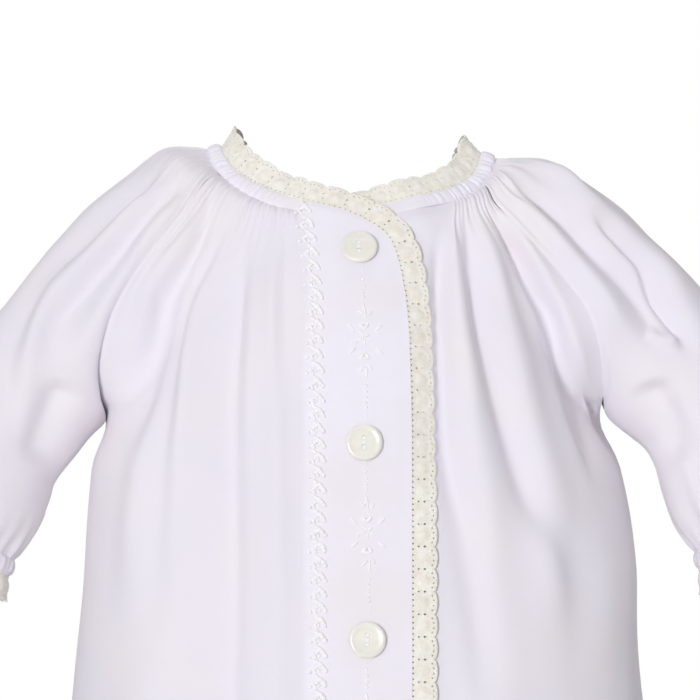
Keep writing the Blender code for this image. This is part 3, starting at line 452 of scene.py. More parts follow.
def rumples(grid):
    """Slow shallow unevenness, as worn cloth has between its folds."""
    flat = grid.reshape(-1, 3) / RUMPLE_SIZE + RUMPLE_SHIFT
    rise = [noise.noise(Vector((x * 1.3, y, z * 0.55))) for x, y, z in flat]
    return np.array(rise).reshape(grid.shape[:2]) * RUMPLE_RISE


SEAM_DEPTH, SEAM_WIDTH = 0.0006, 0.0016


def seam_dip(across, *seams):
    """The shallow line that the sewing pulls in along the first (0) or last (-1) edge of a panel."""
    return sum(-SEAM_DEPTH * np.exp(-((np.abs(across - across[:, [k]]) / SEAM_WIDTH) ** 2)) for k in seams)


def placed(name, data):
    """A new object of the scene, at the origin."""
    made = bpy.data.objects.new(name, data)
    bpy.context.scene.collection.objects.link(made)
    return made


def cloth_shell(name, grid, rough, thick, layers=None, closed=False):
    """Cloth as a thin closed shell: the grid is its outer face. Its UV map is in metres of cloth."""
    rows, columns = grid.shape[:2]
    if closed:
        turned = square_to(np.concatenate([grid[:, -2:-1], grid, grid[:, 1:2]], axis=1))[:, 1:-1]
    else:
        turned = square_to(grid)
    way = np.sign((turned * rough).sum())
    inner = grid - turned * way * thick
    index = np.arange(rows * columns).reshape(rows, columns)
    outer_faces = np.stack([index[:-1, :-1], index[1:, :-1], index[1:, 1:], index[:-1, 1:]], -1).reshape(-1, 4)
    edges = [(index[-1, :-1], index[-1, 1:]), (index[0, 1:], index[0, :-1])]
    if not closed:
        edges += [(index[:-1, 0], index[1:, 0]), (index[1:, -1], index[:-1, -1])]
    rims = np.concatenate([np.stack([q, p, p + rows * columns, q + rows * columns], -1) for p, q in edges])
    faces = np.concatenate([outer_faces, outer_faces[:, ::-1] + rows * columns, rims])
    if way < 0:
        faces = faces[:, ::-1]
    mesh = bpy.data.meshes.new(name)
    mesh.from_pydata(np.concatenate([grid.reshape(-1, 3), inner.reshape(-1, 3)]), [], faces.tolist())
    loops = np.empty(len(mesh.loops), np.int32)
    mesh.loops.foreach_get("vertex_index", loops)
    places = np.tile(np.stack(across_and_down(grid), -1).reshape(-1, 2), (2, 1))
    mesh.uv_layers.new(name="cloth").data.foreach_set("uv", places[loops].ravel())
    held = np.zeros(rows * columns) if layers is None else np.broadcast_to(layers, (rows, columns)).ravel()
    mesh.attributes.new("layers", "FLOAT", "POINT").data.foreach_set("value", np.tile(held, 2))
    if closed:
        # The first and last columns lie on each other, and are joined to close the tube
        work = bmesh.new()
        work.from_mesh(mesh)
        work.verts.ensure_lookup_table()
        ends = [work.verts[i + k * rows * columns] for k in (0, 1) for i in (*index[:, 0], *index[:, -1])]
        bmesh.ops.remove_doubles(work, verts=ends, dist=1e-7)
        work.to_mesh(mesh)
        work.free()
    mesh.shade_smooth()
    mesh.set_sharp_from_angle(angle=math.radians(55))
    return placed(name, mesh)


def node(tree, kind, inputs=None, **settings):
    """Adds a node with its settings; an input is a value, or a socket to link from."""
    made = tree.nodes.new(kind)
    for name, value in settings.items():
        setattr(made, name, value)
    for key, value in (inputs or {}).items():
        if isinstance(value, bpy.types.NodeSocket):
            tree.links.new(value, made.inputs[key])
        else:
            made.inputs[key].default_value = value
    return made


def linear(code):
    """An sRGB hex colour as the linear colour that a shader takes."""
    parts = [int(code[k : k + 2], 16) / 255 for k in (1, 3, 5)]
    return (*[c / 12.92 if c <= 0.04045 else ((c + 0.055) / 1.055) ** 2.4 for c in parts], 1)


def blank_material(name):
    """A material with its own tree, and that tree's shader."""
    material = bpy.data.materials.new(name)
    material.use_nodes = True
    return material, material.node_tree, material.node_tree.nodes["Principled BSDF"]


def mixed(tree, share, *colours):
    """Two colours mixed by a share, each a hex code or a socket."""
    first, second = (linear(colour) if isinstance(colour, str) else colour for colour in colours)
    inputs = {"Factor": share, "A": first, "B": second}
    return node(tree, "ShaderNodeMix", inputs, data_type="RGBA").outputs["Result"]


def ramped(tree, value, low, high, most=1.0):
    """A value spread from 0 to the most between two of its levels."""
    inputs = {"Value": value, "From Min": low, "From Max": high, "To Max": most}
    return node(tree, "ShaderNodeMapRange", inputs).outputs[0]


def surfaced(parts, colour, constants, bump=None):
    """The material with its colour, its constants, and a bump of a height, strength and depth."""
    material, tree, shader = parts
    tree.links.new(colour, shader.inputs["Base Color"])
    if bump:
        raised = node(tree, "ShaderNodeBump", dict(zip(("Height", "Strength", "Distance"), bump)))
        tree.links.new(raised.outputs[0], shader.inputs["Normal"])
    for name, value in constants.items():
        shader.inputs[name].default_value = value
    return material


# Cotton batiste: fine soft combed yarn, plain woven and bleached white. It is matt with a faint
# bloom, and each fold is filled with light that has come through the cloth, cool in the shade.
BATISTE_LAYERED, BATISTE_SINGLE, BATISTE_WARM = "#f3f1fa", "#eeebf3", "#f2ecf0"
THREAD_SPACING = 0.0008  # real threads lie 0.25 mm apart, too fine to show


def batiste_material():
    parts = blank_material("white cotton batiste, plain woven")
    tree = parts[1]
    cloth = node(tree, "ShaderNodeUVMap", uv_map="cloth").outputs["UV"]
    turned = node(tree, "ShaderNodeVectorMath", {0: cloth, "Scale": math.pi / THREAD_SPACING}, operation="SCALE")
    waves = node(tree, "ShaderNodeVectorMath", {0: turned.outputs[0]}, operation="SINE")
    split = node(tree, "ShaderNodeSeparateXYZ", {0: waves.outputs[0]})
    weave = node(tree, "ShaderNodeMath", {0: split.outputs["X"], 1: split.outputs["Y"]}, operation="MULTIPLY")
    # Bleached cotton is never one white: it drifts between cool and faintly warm
    drift = node(tree, "ShaderNodeTexNoise", {"Vector": cloth, "Scale": 22.0, "Detail": 2.0})
    warm = ramped(tree, drift.outputs[0], 0.42, 0.66, 0.8)
    layers = node(tree, "ShaderNodeAttribute", attribute_name="layers").outputs["Fac"]
    colour = mixed(tree, warm, mixed(tree, layers, BATISTE_SINGLE, BATISTE_LAYERED), BATISTE_WARM)
    constants = {
        "Roughness": 0.82,
        "Specular IOR Level": 0.25,
        "Sheen Weight": 0.12,
        "Sheen Roughness": 0.5,
        "Subsurface Weight": 0.12,
        "Subsurface Radius": (0.0035, 0.003, 0.0035),
    }
    return surfaced(parts, colour, constants, (weave.outputs[0], 0.08, 0.0001))


BATISTE = batiste_material()
CLOTH_THICK = 0.0004
FINE = 7  # steps of the fine grid to each of the coarse one

HEM_FOLD = 0.016
HEM_THREAD_DIP = 0.0003
CREASE_ROWS = 0.001 * np.array((  # height, least depth from the middle, out to the crease on the right and left in mm
    (-92.5, 3, 89.3, 86.5), (-88, 9, 90.5, 86.8), (-79, 18, 91.8, 86.5), (-68, 25.5, 89.5, 84.5), (-50, 33, 82, 76),
))
CREASE_HALF_WIDTH, CREASE_SOFT = 0.0095, 0.006
CREASE_STARTS, CREASE_ENDS = (-0.0915, -0.0780), (-0.066, -0.050)  # heights over which it sets in and goes
EDGE_REACH = 0.010


def spanned(p):
    """Cloth spans the deep crease between the sleeve and the body in place of following it in."""
    height, deep = p[..., 2], np.abs(p[..., 1])
    least, right, left = read_at(height, CREASE_ROWS[:, 0], CREASE_ROWS[:, 1:]).transpose(2, 0, 1)
    off = np.abs(p[..., 0]) - np.where(p[..., 0] < 0, right, left)
    share = soft_step(height, *CREASE_STARTS) * (1 - soft_step(height, *CREASE_ENDS))
    share = share * np.exp(-((off / CREASE_HALF_WIDTH) ** 4))
    near = np.maximum(CREASE_SOFT - np.abs(deep - least), 0) / CREASE_SOFT
    reached = np.maximum(deep, least) + near * near * CREASE_SOFT / 4
    moved = p.copy()
    moved[..., 1] += np.sign(p[..., 1]) * (reached - deep) * share
    return moved


def skin_of(coarse, columns_fine):
    """The fine grid of a panel, its direction out, and how far across and down each point lies."""
    grid = spanned(refined(coarse, (len(coarse) - 1) * FINE + 1, (coarse.shape[1] - 1) * columns_fine + 1))
    across, down = across_and_down(grid)
    common = outward(grid)
    # Near a seam each panel takes the form's own direction, so that both sides move alike
    from_edge = np.minimum(np.minimum(across - across[:, :1], across[:, -1:] - across), down)
    own = soft_step(from_edge, 0.001, EDGE_REACH)[..., None]
    out = unit(common + (facing_out(grid, common) - common) * own)
    return grid, out, np.linspace(0, 1, grid.shape[1])[None, :], across, down


FULL_SIDES = ((90, 0.0038, 0.16, 0.36), (-90, 0.0036, 0.11, 0.19))  # turn, rise, and where it fades
FULL_TURN, FULL_FROM = 28, (0.0925, 0.110)


def side_fullness(grid):
    """The skirt fills out below the arms, further down on the wearer's right."""
    turn, low = np.degrees(np.arctan2(-grid[..., 0], grid[..., 1])), -grid[..., 2]
    total = np.zeros(turn.shape)
    for at, rise, *fade in FULL_SIDES:
        total += rise * np.exp(-(((turn - at) / FULL_TURN) ** 2)) * (1 - soft_step(low, *fade))
    return total * soft_step(low, *FULL_FROM)


def hem_line(grid):
    """The turned hem: thicker below its stitching, which pulls a shallow line into the cloth."""
    above = grid[..., 2] - (HEM_HEIGHT + HEM_FOLD)
    return 0.0004 * soft_step(-above, 0, 0.001) - HEM_THREAD_DIP * np.exp(-((above / 0.0012) ** 2))


def dress(name, skin, solid, layers=None, closed=False):
    """A piece of batiste in place of its solid, from its grid, its direction out and its rise."""
    grid, out, rise = skin
    piece = cloth_shell(name, grid + out * rise[..., None], out, CLOTH_THICK, layers, closed)
    piece.data.materials.append(BATISTE)
    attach(piece, "root")
    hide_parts(solid)


grid, out, u, across, down = skin_of(front_right_grid(), 8)
lap_u = GATHERED_STEPS / (GATHERED_STEPS + BAND_STEPS)
calm = 1 - soft_step(u, lap_u - 0.10, lap_u)
rise = folds(grid, out) + hem_line(grid) + side_fullness(grid)
rise += gathers(u, down, 11, 19, (0.0, lap_u - 0.01), 0.0017, 0.022) * calm
rise += rumples(grid) * (0.35 + 0.65 * calm)
rise += seam_dip(across, 0) * (grid[..., 2] > -0.5)
front_right_skin = (grid, out, rise)
banded = soft_step(u, lap_u - 0.005, lap_u + 0.005)
dress("front_right_cloth", front_right_skin, "front_right", banded)

# ---- Left front
# The same batiste. It runs on under the lap to a hidden edge, and is gathered only where it
# shows, because the lap presses it flat.

UNDER_EDGE = -0.0135
UNDER_CLEAR, UNDER_BLEND, UNDER_DROP = 0.0300, 0.0110, 0.0021
NECK_CLEAR, NECK_BLEND = 0.0100, 0.0130


def front_left_grid():
    steps = (GATHERED_STEPS - 2, BAND_STEPS + 2)
    top = casing_foot(spread((270.0 - RAGLAN_TURN, neck_turn(UNDER_CLEAR), neck_turn(UNDER_EDGE)), steps))

    def turns_at(height):
        return spread((270.0, turn_at(height, UNDER_CLEAR), turn_at(height, UNDER_EDGE)), steps)

    heights = top[-1][2] + UPPER_SHARES * (UNDERARM_HEIGHT - top[-1][2])
    last = on_front(np.full(len(UPPER_SHARES), UNDER_EDGE), heights)
    last[0] = top[-1]
    upper = patch(top, body_row(UNDERARM_HEIGHT, turns_at), raglan(1, True), last, seated_on_body, True)
    return np.concatenate([upper, skirt(turns_at)])


def under_lap(p):
    """1 where the lap and its edging cover the left front and press it in, 0 clear of them."""
    low = soft_step(-p[..., 2], 0.018, 0.040)
    clear = NECK_CLEAR + (UNDER_CLEAR - NECK_CLEAR) * low
    return (p[..., 1] < 0) * (1 - soft_step(p[..., 0], clear, clear + NECK_BLEND + (UNDER_BLEND - NECK_BLEND) * low))


grid, out, u, across, down = skin_of(front_left_grid(), 8)
pressed = under_lap(grid)
rise = folds(grid, out) - UNDER_DROP * pressed + hem_line(grid) + side_fullness(grid)
rise += gathers(u, down, 23, 12, (0.0, 0.66), 0.0015, 0.026) * (1 - 0.8 * pressed)
rise += rumples(grid) * (1 - 0.7 * pressed)
rise += seam_dip(across, 0)
front_left_skin = (grid, out, rise)
dress("front_left_cloth", front_left_skin, "front_left")

# ---- Back
# One piece of the same batiste, gathered all the way across its neck edge.

BACK_STEPS = 28


def back_grid():
    top = casing_foot(np.linspace(-90 + RAGLAN_TURN, 90 - RAGLAN_TURN, BACK_STEPS + 1))

    def turns_at(_height):
        return np.linspace(-90, 90, BACK_STEPS + 1)

    foot = body_row(UNDERARM_HEIGHT, turns_at)
    return np.concatenate([patch(top, foot, raglan(1, False), raglan(-1, False), seated_on_body), skirt(turns_at)])


grid, out, u, across, down = skin_of(back_grid(), 6)
rise = folds(grid, out) + hem_line(grid) + side_fullness(grid)
rise += gathers(u, down, 37, 38, (0.0, 1.0), 0.0017, 0.022)
rise += rumples(grid)
rise += seam_dip(across, 0, -1)
back_skin = (grid, out, rise)
dress("back_cloth", back_skin, "back")

# ---- Sleeves
# Two raglan sleeves of the same batiste, full at the top where they are gathered into the
# neck, and gathered again into a narrow casing at the wrist.

EDGING_WIDTH, SCALLOP_RISE = 0.0074, 0.0021
SLEEVE_STEPS = 24
SLEEVE_LENGTH = float(np.linalg.norm(np.diff(SLEEVE_LINES[-1][:, :3], axis=0), axis=1).sum())
CUFF_EDGE_SHARE = 1 - (EDGING_WIDTH + SCALLOP_RISE) / SLEEVE_LENGTH
CUFF_SEAM_SHARE = CUFF_EDGE_SHARE - (CASING_WIDTH + 2 * SEAM_GAP) / SLEEVE_LENGTH


def seated_on_sleeve(side):
    """What moves points onto one sleeve without the body."""

    def distance(p):
        return sleeve_distance(p, side)

    return lambda p: moved_onto(p, distance, lambda q: outward(q, distance))


def sleeve_frame(share, side):
    """A place along the sleeve's middle line, the way that it runs and its radius."""
    line = SLEEVE_LINES[side]
    marks = np.linspace(0, 1, len(line))
    at, ahead, behind = (read_at(s, marks, line) for s in (share, min(share + 0.02, 1), share - 0.02))
    return at[:3], unit((ahead - behind)[:3]), at[3]


def sleeve_ring(share, side, steps, inward=None):
    """A ring round the sleeve that starts at its underarm seam and turns to the front first."""
    middle, along, radius = sleeve_frame(share, side)
    inward = np.array([-side * 1.0, 0.0, -0.55]) if inward is None else inward - middle
    inner = unit(inward - along * (inward @ along))
    forward = unit(np.cross(along, inner))
    forward = forward if forward[1] < 0 else -forward
    around = np.linspace(0, 2 * math.pi, steps + 1)[:, None]
    return middle + radius * (np.cos(around) * inner + np.sin(around) * forward)


def sleeve_grid(side):
    turns = np.linspace(90 + RAGLAN_TURN, 90 - RAGLAN_TURN, SLEEVE_STEPS + 1)
    top = casing_foot(turns if side < 0 else 360 - turns)
    first, last = raglan(side, True), raglan(side, False)
    shares = np.linspace(0.3, 0.8, 300)
    frames = [sleeve_frame(share, side) for share in shares]
    start = shares[np.argmin([abs((first[-1] - middle) @ along) for middle, along, _ in frames])]
    foot = sleeve_ring(start, side, SLEEVE_STEPS, first[-1])
    upper = patch(top, foot, first, last, seated_on_sleeve(side))
    upper[-1] = foot
    lower = [sleeve_ring(s, side, SLEEVE_STEPS) for s in np.linspace(start, CUFF_SEAM_SHARE, 7)[1:]]
    return np.concatenate([upper, np.stack(lower)])


SHOULDER_RISE = 0.0032

for side, word, seed in ((-1, "right", 41), (1, "left", 53)):
    grid, out, u, across, down = skin_of(sleeve_grid(side), 7)
    rise = folds(grid, out)
    rise += gathers(u, down, seed, 20, (0.0, 1.0), 0.0016, 0.028)
    rise += gathers(u, down[-1] - down, seed + 1, 22, (0.0, 1.0), 0.0020, 0.018)
    topside = soft_step(out[..., 2], 0.35, 0.95)
    rise += SHOULDER_RISE * topside * soft_step(down, 0.002, 0.018) * (1 - soft_step(down, 0.085, 0.130))
    rise += rumples(grid)
    rise += seam_dip(across, 0, -1) * (down < 0.16)
    skin = (grid, out, rise)
    dress(f"sleeve_{word}_cloth", skin, f"sleeve_{word}")

# ---- Neck casing
# A narrow band of the same batiste sewn over the gathered edges and drawn up on its own
# thread, so that it puckers tightly. The puckers fade toward the flat lapped band.

CASING_OVERLAP = 0.0005
CASING_LIFT, PUCKER_RISE, PUCKER_PITCH = 0.0004, 0.0014, 0.0025
CALM_NEAR_LAP, CALM_END = 0.002, 0.016  # metres of seam from the lap
NECK_SPLIT = 0.4


def puckers(along, seed, pitch=PUCKER_PITCH):
    """0 in the creases of a puckered band, and up to 1 on the rounded ridges between them."""
    draw = np.random.default_rng(seed)
    length = float(along.max())
    count = round(length / pitch)
    creases = np.arange(count + 1) + draw.uniform(-0.33, 0.33, count + 1)
    creases[0], creases[-1] = 0, count
    creases *= length / count
    i = np.clip(np.searchsorted(creases, along) - 1, 0, count - 1)
    t = (along - creases[i]) / (creases[i + 1] - creases[i])
    return draw.uniform(0.45, 1.0, count)[i] * np.sqrt(np.clip(4 * t * (1 - t), 0, 1))


def neck_casing(name, end, seed, covered, solid):
    """Half of the casing, from the back to its end; covered says that the lap presses it in."""
    v = np.linspace(0, 1, 10)[:, None]
    turns = np.linspace(360 - NECK_SPLIT if covered else NECK_SPLIT, end, 420)
    rows = np.stack([below_neck(turns, share * (CASING_WIDTH + CASING_OVERLAP)) for share in v[:, 0]])
    out = outward(rows)
    along = lengths(rows[0])[None]
    wander = 0.0009 * np.sin(along / 0.0041 + seed) * (v - 0.5)
    full = np.clip(4 * v * (1 - v), 0, 1)
    pulled = soft_step(rows[..., 0], 0.017, 0.036)
    if not covered:
        pulled = soft_step(along.max() - along, CALM_NEAR_LAP, CALM_END)
    ridges = puckers(np.clip(along + wander, 0, along.max()), seed)
    rise = CASING_LIFT * full**0.4 * (0.4 + 0.6 * pulled) + PUCKER_RISE * ridges * full**0.35 * pulled
    rise += folds(rows, out) - UNDER_DROP * under_lap(rows) * covered
    dress(name, (rows, out, rise), solid, layers=1.0)


neck_end = neck_turn(LAP_START)
neck_casing("neck_casing_right", neck_end, 5, False, "casing_right")
neck_casing("neck_casing_left", neck_turn(UNDER_EDGE), 6, True, "casing_left")

# ---- Cuff casings
# The same puckered band round each wrist.

CUFF_COLUMNS = 150

for side, word, seed in ((-1, "right", 7), (1, "left", 8)):
    gap = SEAM_GAP / SLEEVE_LENGTH
    shares = np.linspace(CUFF_SEAM_SHARE - gap, CUFF_EDGE_SHARE + gap, 9)
    rings = np.stack([sleeve_ring(share, side, CUFF_COLUMNS) for share in shares])
    middles = np.stack([sleeve_frame(share, side)[0] for share in shares])[:, None]
    out = unit(rings - middles)
    along = lengths(rings[0])[None]
    v = np.linspace(0, 1, len(shares))[:, None]
    full = np.clip(4 * v * (1 - v), 0, 1)
    rise = CASING_LIFT * (0.3 + 0.7 * full**0.5) + PUCKER_RISE * puckers(along, seed) * full**0.6
    name, skin = f"cuff_casing_{word}", (rings, out, np.broadcast_to(rise, rings.shape[:2]))
    dress(f"{name}_cloth", skin, name, 1.0, True)

# ---- Eyelet edging
# Cream cotton strip, embroidered and pierced by machine: a ladder of small holes beside its
# sewn edge, a padded oval in each scallop with small holes round it, and a corded rim.

UNIT_WIDE, NOTCH_UP, CREST_UP = 7.8, 8.1, 9.5  # flat sizes in mm, from notch to notch
EYELETS = (  # across from the notch, up from the sewn edge, half width, half height, in mm
    (-2.925, 0.85, 0.31, 0.28), (-0.975, 0.85, 0.31, 0.28), (0.975, 0.85, 0.31, 0.28), (2.925, 0.85, 0.31, 0.28),
    (0, 2.8, 0.26, 0.34), (0, 5, 0.32, 0.48), (-1.4, 7.55, 0.27, 0.27), (1.4, 7.55, 0.27, 0.27),
    (-2.95, 8.1, 0.27, 0.27), (2.95, 8.1, 0.27, 0.27),
)
OVAL_UP, OVAL_HALF_WIDE, OVAL_HALF_HIGH, OVAL_RISE = 4.3, 1.8, 2.15, 0.55
RIM_RISE, HOLE_RIM_RISE, STRIP_THICK = 0.34, 0.20, 0.45


def in_loop(points, loop):
    """Which of the points lie inside a closed loop."""
    (x, y), inside = points.T, np.zeros(len(points), bool)
    for (ax, ay), (bx, by) in zip(loop, np.roll(loop, -1, axis=0)):
        if ay != by:
            inside ^= ((ay > y) != (by > y)) & (x < (bx - ax) * (y - ay) / (by - ay) + ax)
    return inside


def pierced(name, outline, holes, inside, top, under, open_at=math.inf):
    """A flat shape with holes and a height on each side. Its ends at open_at stay open."""
    loops = [np.asarray(loop, float) for loop in (outline, *holes)]
    starts = np.cumsum([0, *(len(loop) for loop in loops)])
    edges = [(s + k, s + (k + 1) % len(loop)) for s, loop in zip(starts, loops) for k in range(len(loop))]
    edges = [(int(a), int(b)) for a, b in edges]
    points = [Vector(p) for p in np.concatenate([*loops, inside]).tolist()]
    places, _, faces = geometry.delaunay_2d_cdt(points, edges, [], 0, 1e-5)[:3]
    flat = np.array([tuple(p) for p in places])
    faces = np.array([tuple(f) for f in faces])
    centres = flat[faces].mean(axis=1)
    kept = in_loop(centres, loops[0])
    for loop in loops[1:]:
        kept &= ~in_loop(centres, loop)
    faces = faces[kept]
    a, b, c = (flat[faces[:, k]] for k in range(3))
    turned = (b - a)[:, 0] * (c - a)[:, 1] - (b - a)[:, 1] * (c - a)[:, 0] < 0
    faces[turned] = faces[turned][:, ::-1]
    sides = {(int(f[k]), int(f[(k + 1) % 3])) for f in faces for k in range(3)}
    rim = [(p, q) for p, q in sorted(sides) if (q, p) not in sides]
    rim = [(p, q) for p, q in rim if min(abs(flat[p, 0]), abs(flat[q, 0])) < open_at - 1e-4]
    n = len(flat)
    lower = np.column_stack([flat, under(flat[:, 0], flat[:, 1])])
    upper = np.column_stack([flat, top(flat[:, 0], flat[:, 1])])
    walls = [(p, p + n, q + n, q) for p, q in rim]
    mesh = bpy.data.meshes.new(name)
    skins = [*faces.tolist(), *(faces[:, ::-1] + n).tolist()]
    mesh.from_pydata(np.concatenate([upper, lower]) * 0.001, [], [*skins, *walls])
    mesh.shade_smooth()
    mesh.set_sharp_from_angle(angle=math.radians(50))
    return mesh


def ellipse(x, y, half_wide, half_high, count):
    around = np.linspace(0, 2 * math.pi, count, endpoint=False) + math.pi / count
    return np.column_stack([x + half_wide * np.cos(around), y + half_high * np.sin(around)])


def scalloped(x):
    """How far up the strip's edge lies, from a sharp notch at 0 to a round crest at each end."""
    t = 1 - np.abs(x) / (UNIT_WIDE / 2)
    return NOTCH_UP + (CREST_UP - NOTCH_UP) * np.sqrt(np.clip(1 - t * t, 0, 1))


def edging_relief(x, y):
    """The embroidery's height over the strip: corded rim, padded ovals and rims round the holes."""
    half = UNIT_WIDE / 2
    from_edge = scalloped(x) - y
    height = RIM_RISE * np.exp(-(((from_edge - 0.42) / 0.38) ** 2))
    oval = ((np.abs(x) - half) / OVAL_HALF_WIDE) ** 2 + ((y - OVAL_UP) / OVAL_HALF_HIGH) ** 2
    height += OVAL_RISE * np.clip(1 - oval, 0, 1) ** 0.6
    for ex, ey, wide, high in EYELETS:
        off = np.hypot(x - ex, y - ey) - (wide + high) / 2
        height += HOLE_RIM_RISE * np.exp(-(((off - 0.16) / 0.24) ** 2))
    return height


def edging_unit():
    half = UNIT_WIDE / 2
    across = np.linspace(-half, half, 11)[:-1]
    top = half * np.sign(np.linspace(1, -1, 17)) * np.abs(np.linspace(1, -1, 17)) ** 1.4
    side = np.linspace(0, 1, 10)[:-1] * CREST_UP
    stretches = (
        (across, np.zeros(10)),
        (np.full(9, half), side),
        (top[:-1], scalloped(top[:-1])),
        (np.full(9, -half), CREST_UP - side),
    )
    outline = np.concatenate([np.column_stack(stretch) for stretch in stretches])
    holes = [ellipse(*row, 8) for row in EYELETS]
    rings = np.concatenate([ellipse(x, y, w + 0.24, h + 0.24, 8) for x, y, w, h in EYELETS])
    level = np.stack(np.meshgrid(np.arange(-3.4, 3.5, 0.68), np.arange(0.4, 9.4, 0.62)), -1)
    level[1::2, :, 0] += 0.34
    inner = level.reshape(-1, 2)
    far = np.min([np.hypot(*(inner - row[:2]).T) - max(row[2:]) for row in EYELETS], axis=0)
    inside = np.concatenate([rings, inner[far > 0.42]])
    clear = (np.abs(inside[:, 0]) < half - 0.2) & (inside[:, 1] > 0.2)
    inside = inside[clear & (scalloped(inside[:, 0]) - inside[:, 1] > 0.22)]
    mesh = pierced("edging unit", outline, holes, inside, edging_relief, lambda x, y: 0 * x - STRIP_THICK, half)
    return placed("edging unit", mesh)


def new_tree(name, made, **kinds):
    """A geometry tree with named inputs and one named result, and what it is given."""
    tree = bpy.data.node_groups.new(name, "GeometryNodeTree")
    for socket, kind in kinds.items():
        tree.interface.new_socket(socket, in_out="INPUT", socket_type=f"NodeSocket{kind}")
    tree.interface.new_socket(made, in_out="OUTPUT", socket_type="NodeSocketGeometry")
    return tree, node(tree, "NodeGroupInput").outputs


def maths(tree, operation, *values):
    """The result of a math node; each value is a number or a socket."""
    return node(tree, "ShaderNodeMath", dict(enumerate(values)), operation=operation).outputs[0]


def scaled(tree, vector, by):
    return node(tree, "ShaderNodeVectorMath", {0: vector, "Scale": by}, operation="SCALE").outputs[0]


def finished(tree, name, shape, material):
    """Ends a tree in its material and its one result."""
    dressed = node(tree, "GeometryNodeSetMaterial", {"Geometry": shape, "Material": material}).outputs[0]
    node(tree, "NodeGroupOutput", {name: dressed})
    return tree


def edging_tree():
    """Lays units side by side along a seam whose points carry the ways across and out."""
    kinds = {"Seam": "Geometry", "Unit": "Object", "Count": "Int", "Pitch": "Float", "Uneven": "Float"}
    tree, given = new_tree("eyelet edging along a seam", "Edging", **kinds, Seed="Float", Material="Material")
    unit_shape = node(tree, "GeometryNodeObjectInfo", {"Object": given["Unit"]}).outputs["Geometry"]
    step = node(tree, "ShaderNodeCombineXYZ", {"X": given["Pitch"]}).outputs[0]
    row = node(tree, "GeometryNodeMeshLine", {"Count": given["Count"], "Offset": step}).outputs[0]
    laid = node(tree, "GeometryNodeInstanceOnPoints", {"Points": row, "Instance": unit_shape}).outputs[0]
    whole = node(tree, "GeometryNodeRealizeInstances", {"Geometry": laid}).outputs[0]
    seam = node(tree, "GeometryNodeMeshToCurve", {"Mesh": given["Seam"]}).outputs[0]
    place = node(tree, "GeometryNodeInputPosition").outputs[0]
    parts = node(tree, "ShaderNodeSeparateXYZ", {0: place}).outputs
    start = maths(tree, "ADD", parts["X"], maths(tree, "MULTIPLY", given["Pitch"], 0.5))
    share = maths(tree, "DIVIDE", start, maths(tree, "MULTIPLY", given["Pitch"], given["Count"]))
    read = {}
    for name in ("across", "out", "ruffle"):
        kind = "FLOAT" if name == "ruffle" else "FLOAT_VECTOR"
        value = node(tree, "GeometryNodeInputNamedAttribute", {"Name": name}, data_type=kind).outputs["Attribute"]
        inputs = {"Curves": seam, "Value": value, "Factor": share}
        read[name] = node(tree, "GeometryNodeSampleCurve", inputs, mode="FACTOR", data_type=kind).outputs
    inputs = {"Vector": place, "W": given["Seed"], "Scale": 260.0, "Detail": 1.0}
    wobble = node(tree, "ShaderNodeTexNoise", inputs, noise_dimensions="4D").outputs[0]
    level = maths(tree, "SUBTRACT", wobble, 0.5)
    wide = maths(tree, "POWER", maths(tree, "DIVIDE", parts["Y"], CREST_UP * 0.001), 2.0)
    lift = maths(tree, "MULTIPLY_ADD", wide, read["ruffle"]["Value"], parts["Z"])
    lift = maths(tree, "MULTIPLY_ADD", level, given["Uneven"], lift)
    moved = read["out"]["Position"]
    for way, far in (("across", parts["Y"]), ("out", lift)):
        added = {0: moved, 1: scaled(tree, read[way]["Value"], far)}
        moved = node(tree, "ShaderNodeVectorMath", added, operation="ADD").outputs[0]
    bent = node(tree, "GeometryNodeSetPosition", {"Geometry": whole, "Position": moved}).outputs[0]
    closed = node(tree, "GeometryNodeMergeByDistance", {"Geometry": bent, "Distance": 0.00002}).outputs[0]
    return finished(tree, "Edging", closed, given["Material"])


def grown(tree, start, name, values):
    """The plain mesh that a node tree makes from a starting mesh, as an object at the origin."""
    holder = placed(name + " start", start)
    grower = holder.modifiers.new("grow", "NODES")
    grower.node_group = tree
    for item in tree.interface.items_tree:
        if item.in_out == "INPUT" and item.name in values:
            grower[item.identifier] = values[item.name]
    graph = bpy.context.evaluated_depsgraph_get()
    mesh = bpy.data.meshes.new_from_object(holder.evaluated_get(graph), preserve_all_data_layers=True, depsgraph=graph)
    holder.modifiers.remove(grower)
    bpy.data.objects.remove(holder)
    mesh.name = name
    return placed(name, mesh)


def seeds(name, places, edges, **columns):
    """A starting mesh whose points carry a column of values for each name."""
    start = bpy.data.meshes.new(name)
    start.from_pydata(places, edges, [])
    for column, values in columns.items():
        values = np.asarray(values, float)
        kind, key = ("FLOAT", "value") if values.ndim == 1 else ("FLOAT_VECTOR", "vector")
        start.attributes.new(column, kind, "POINT").data.foreach_set(key, values.ravel())
    return start


# Embroidered eyelet cotton: cream soft twist over a fine ground, matt, its colour drifting at random
# between the cream of the thread and the slightly darker ground.
EYELET_THREAD, EYELET_GROUND = "#fbf8ee", "#f1ece0"
STITCH_SPACING = 0.0006  # real satin stitches lie 0.3 mm apart, too fine to show


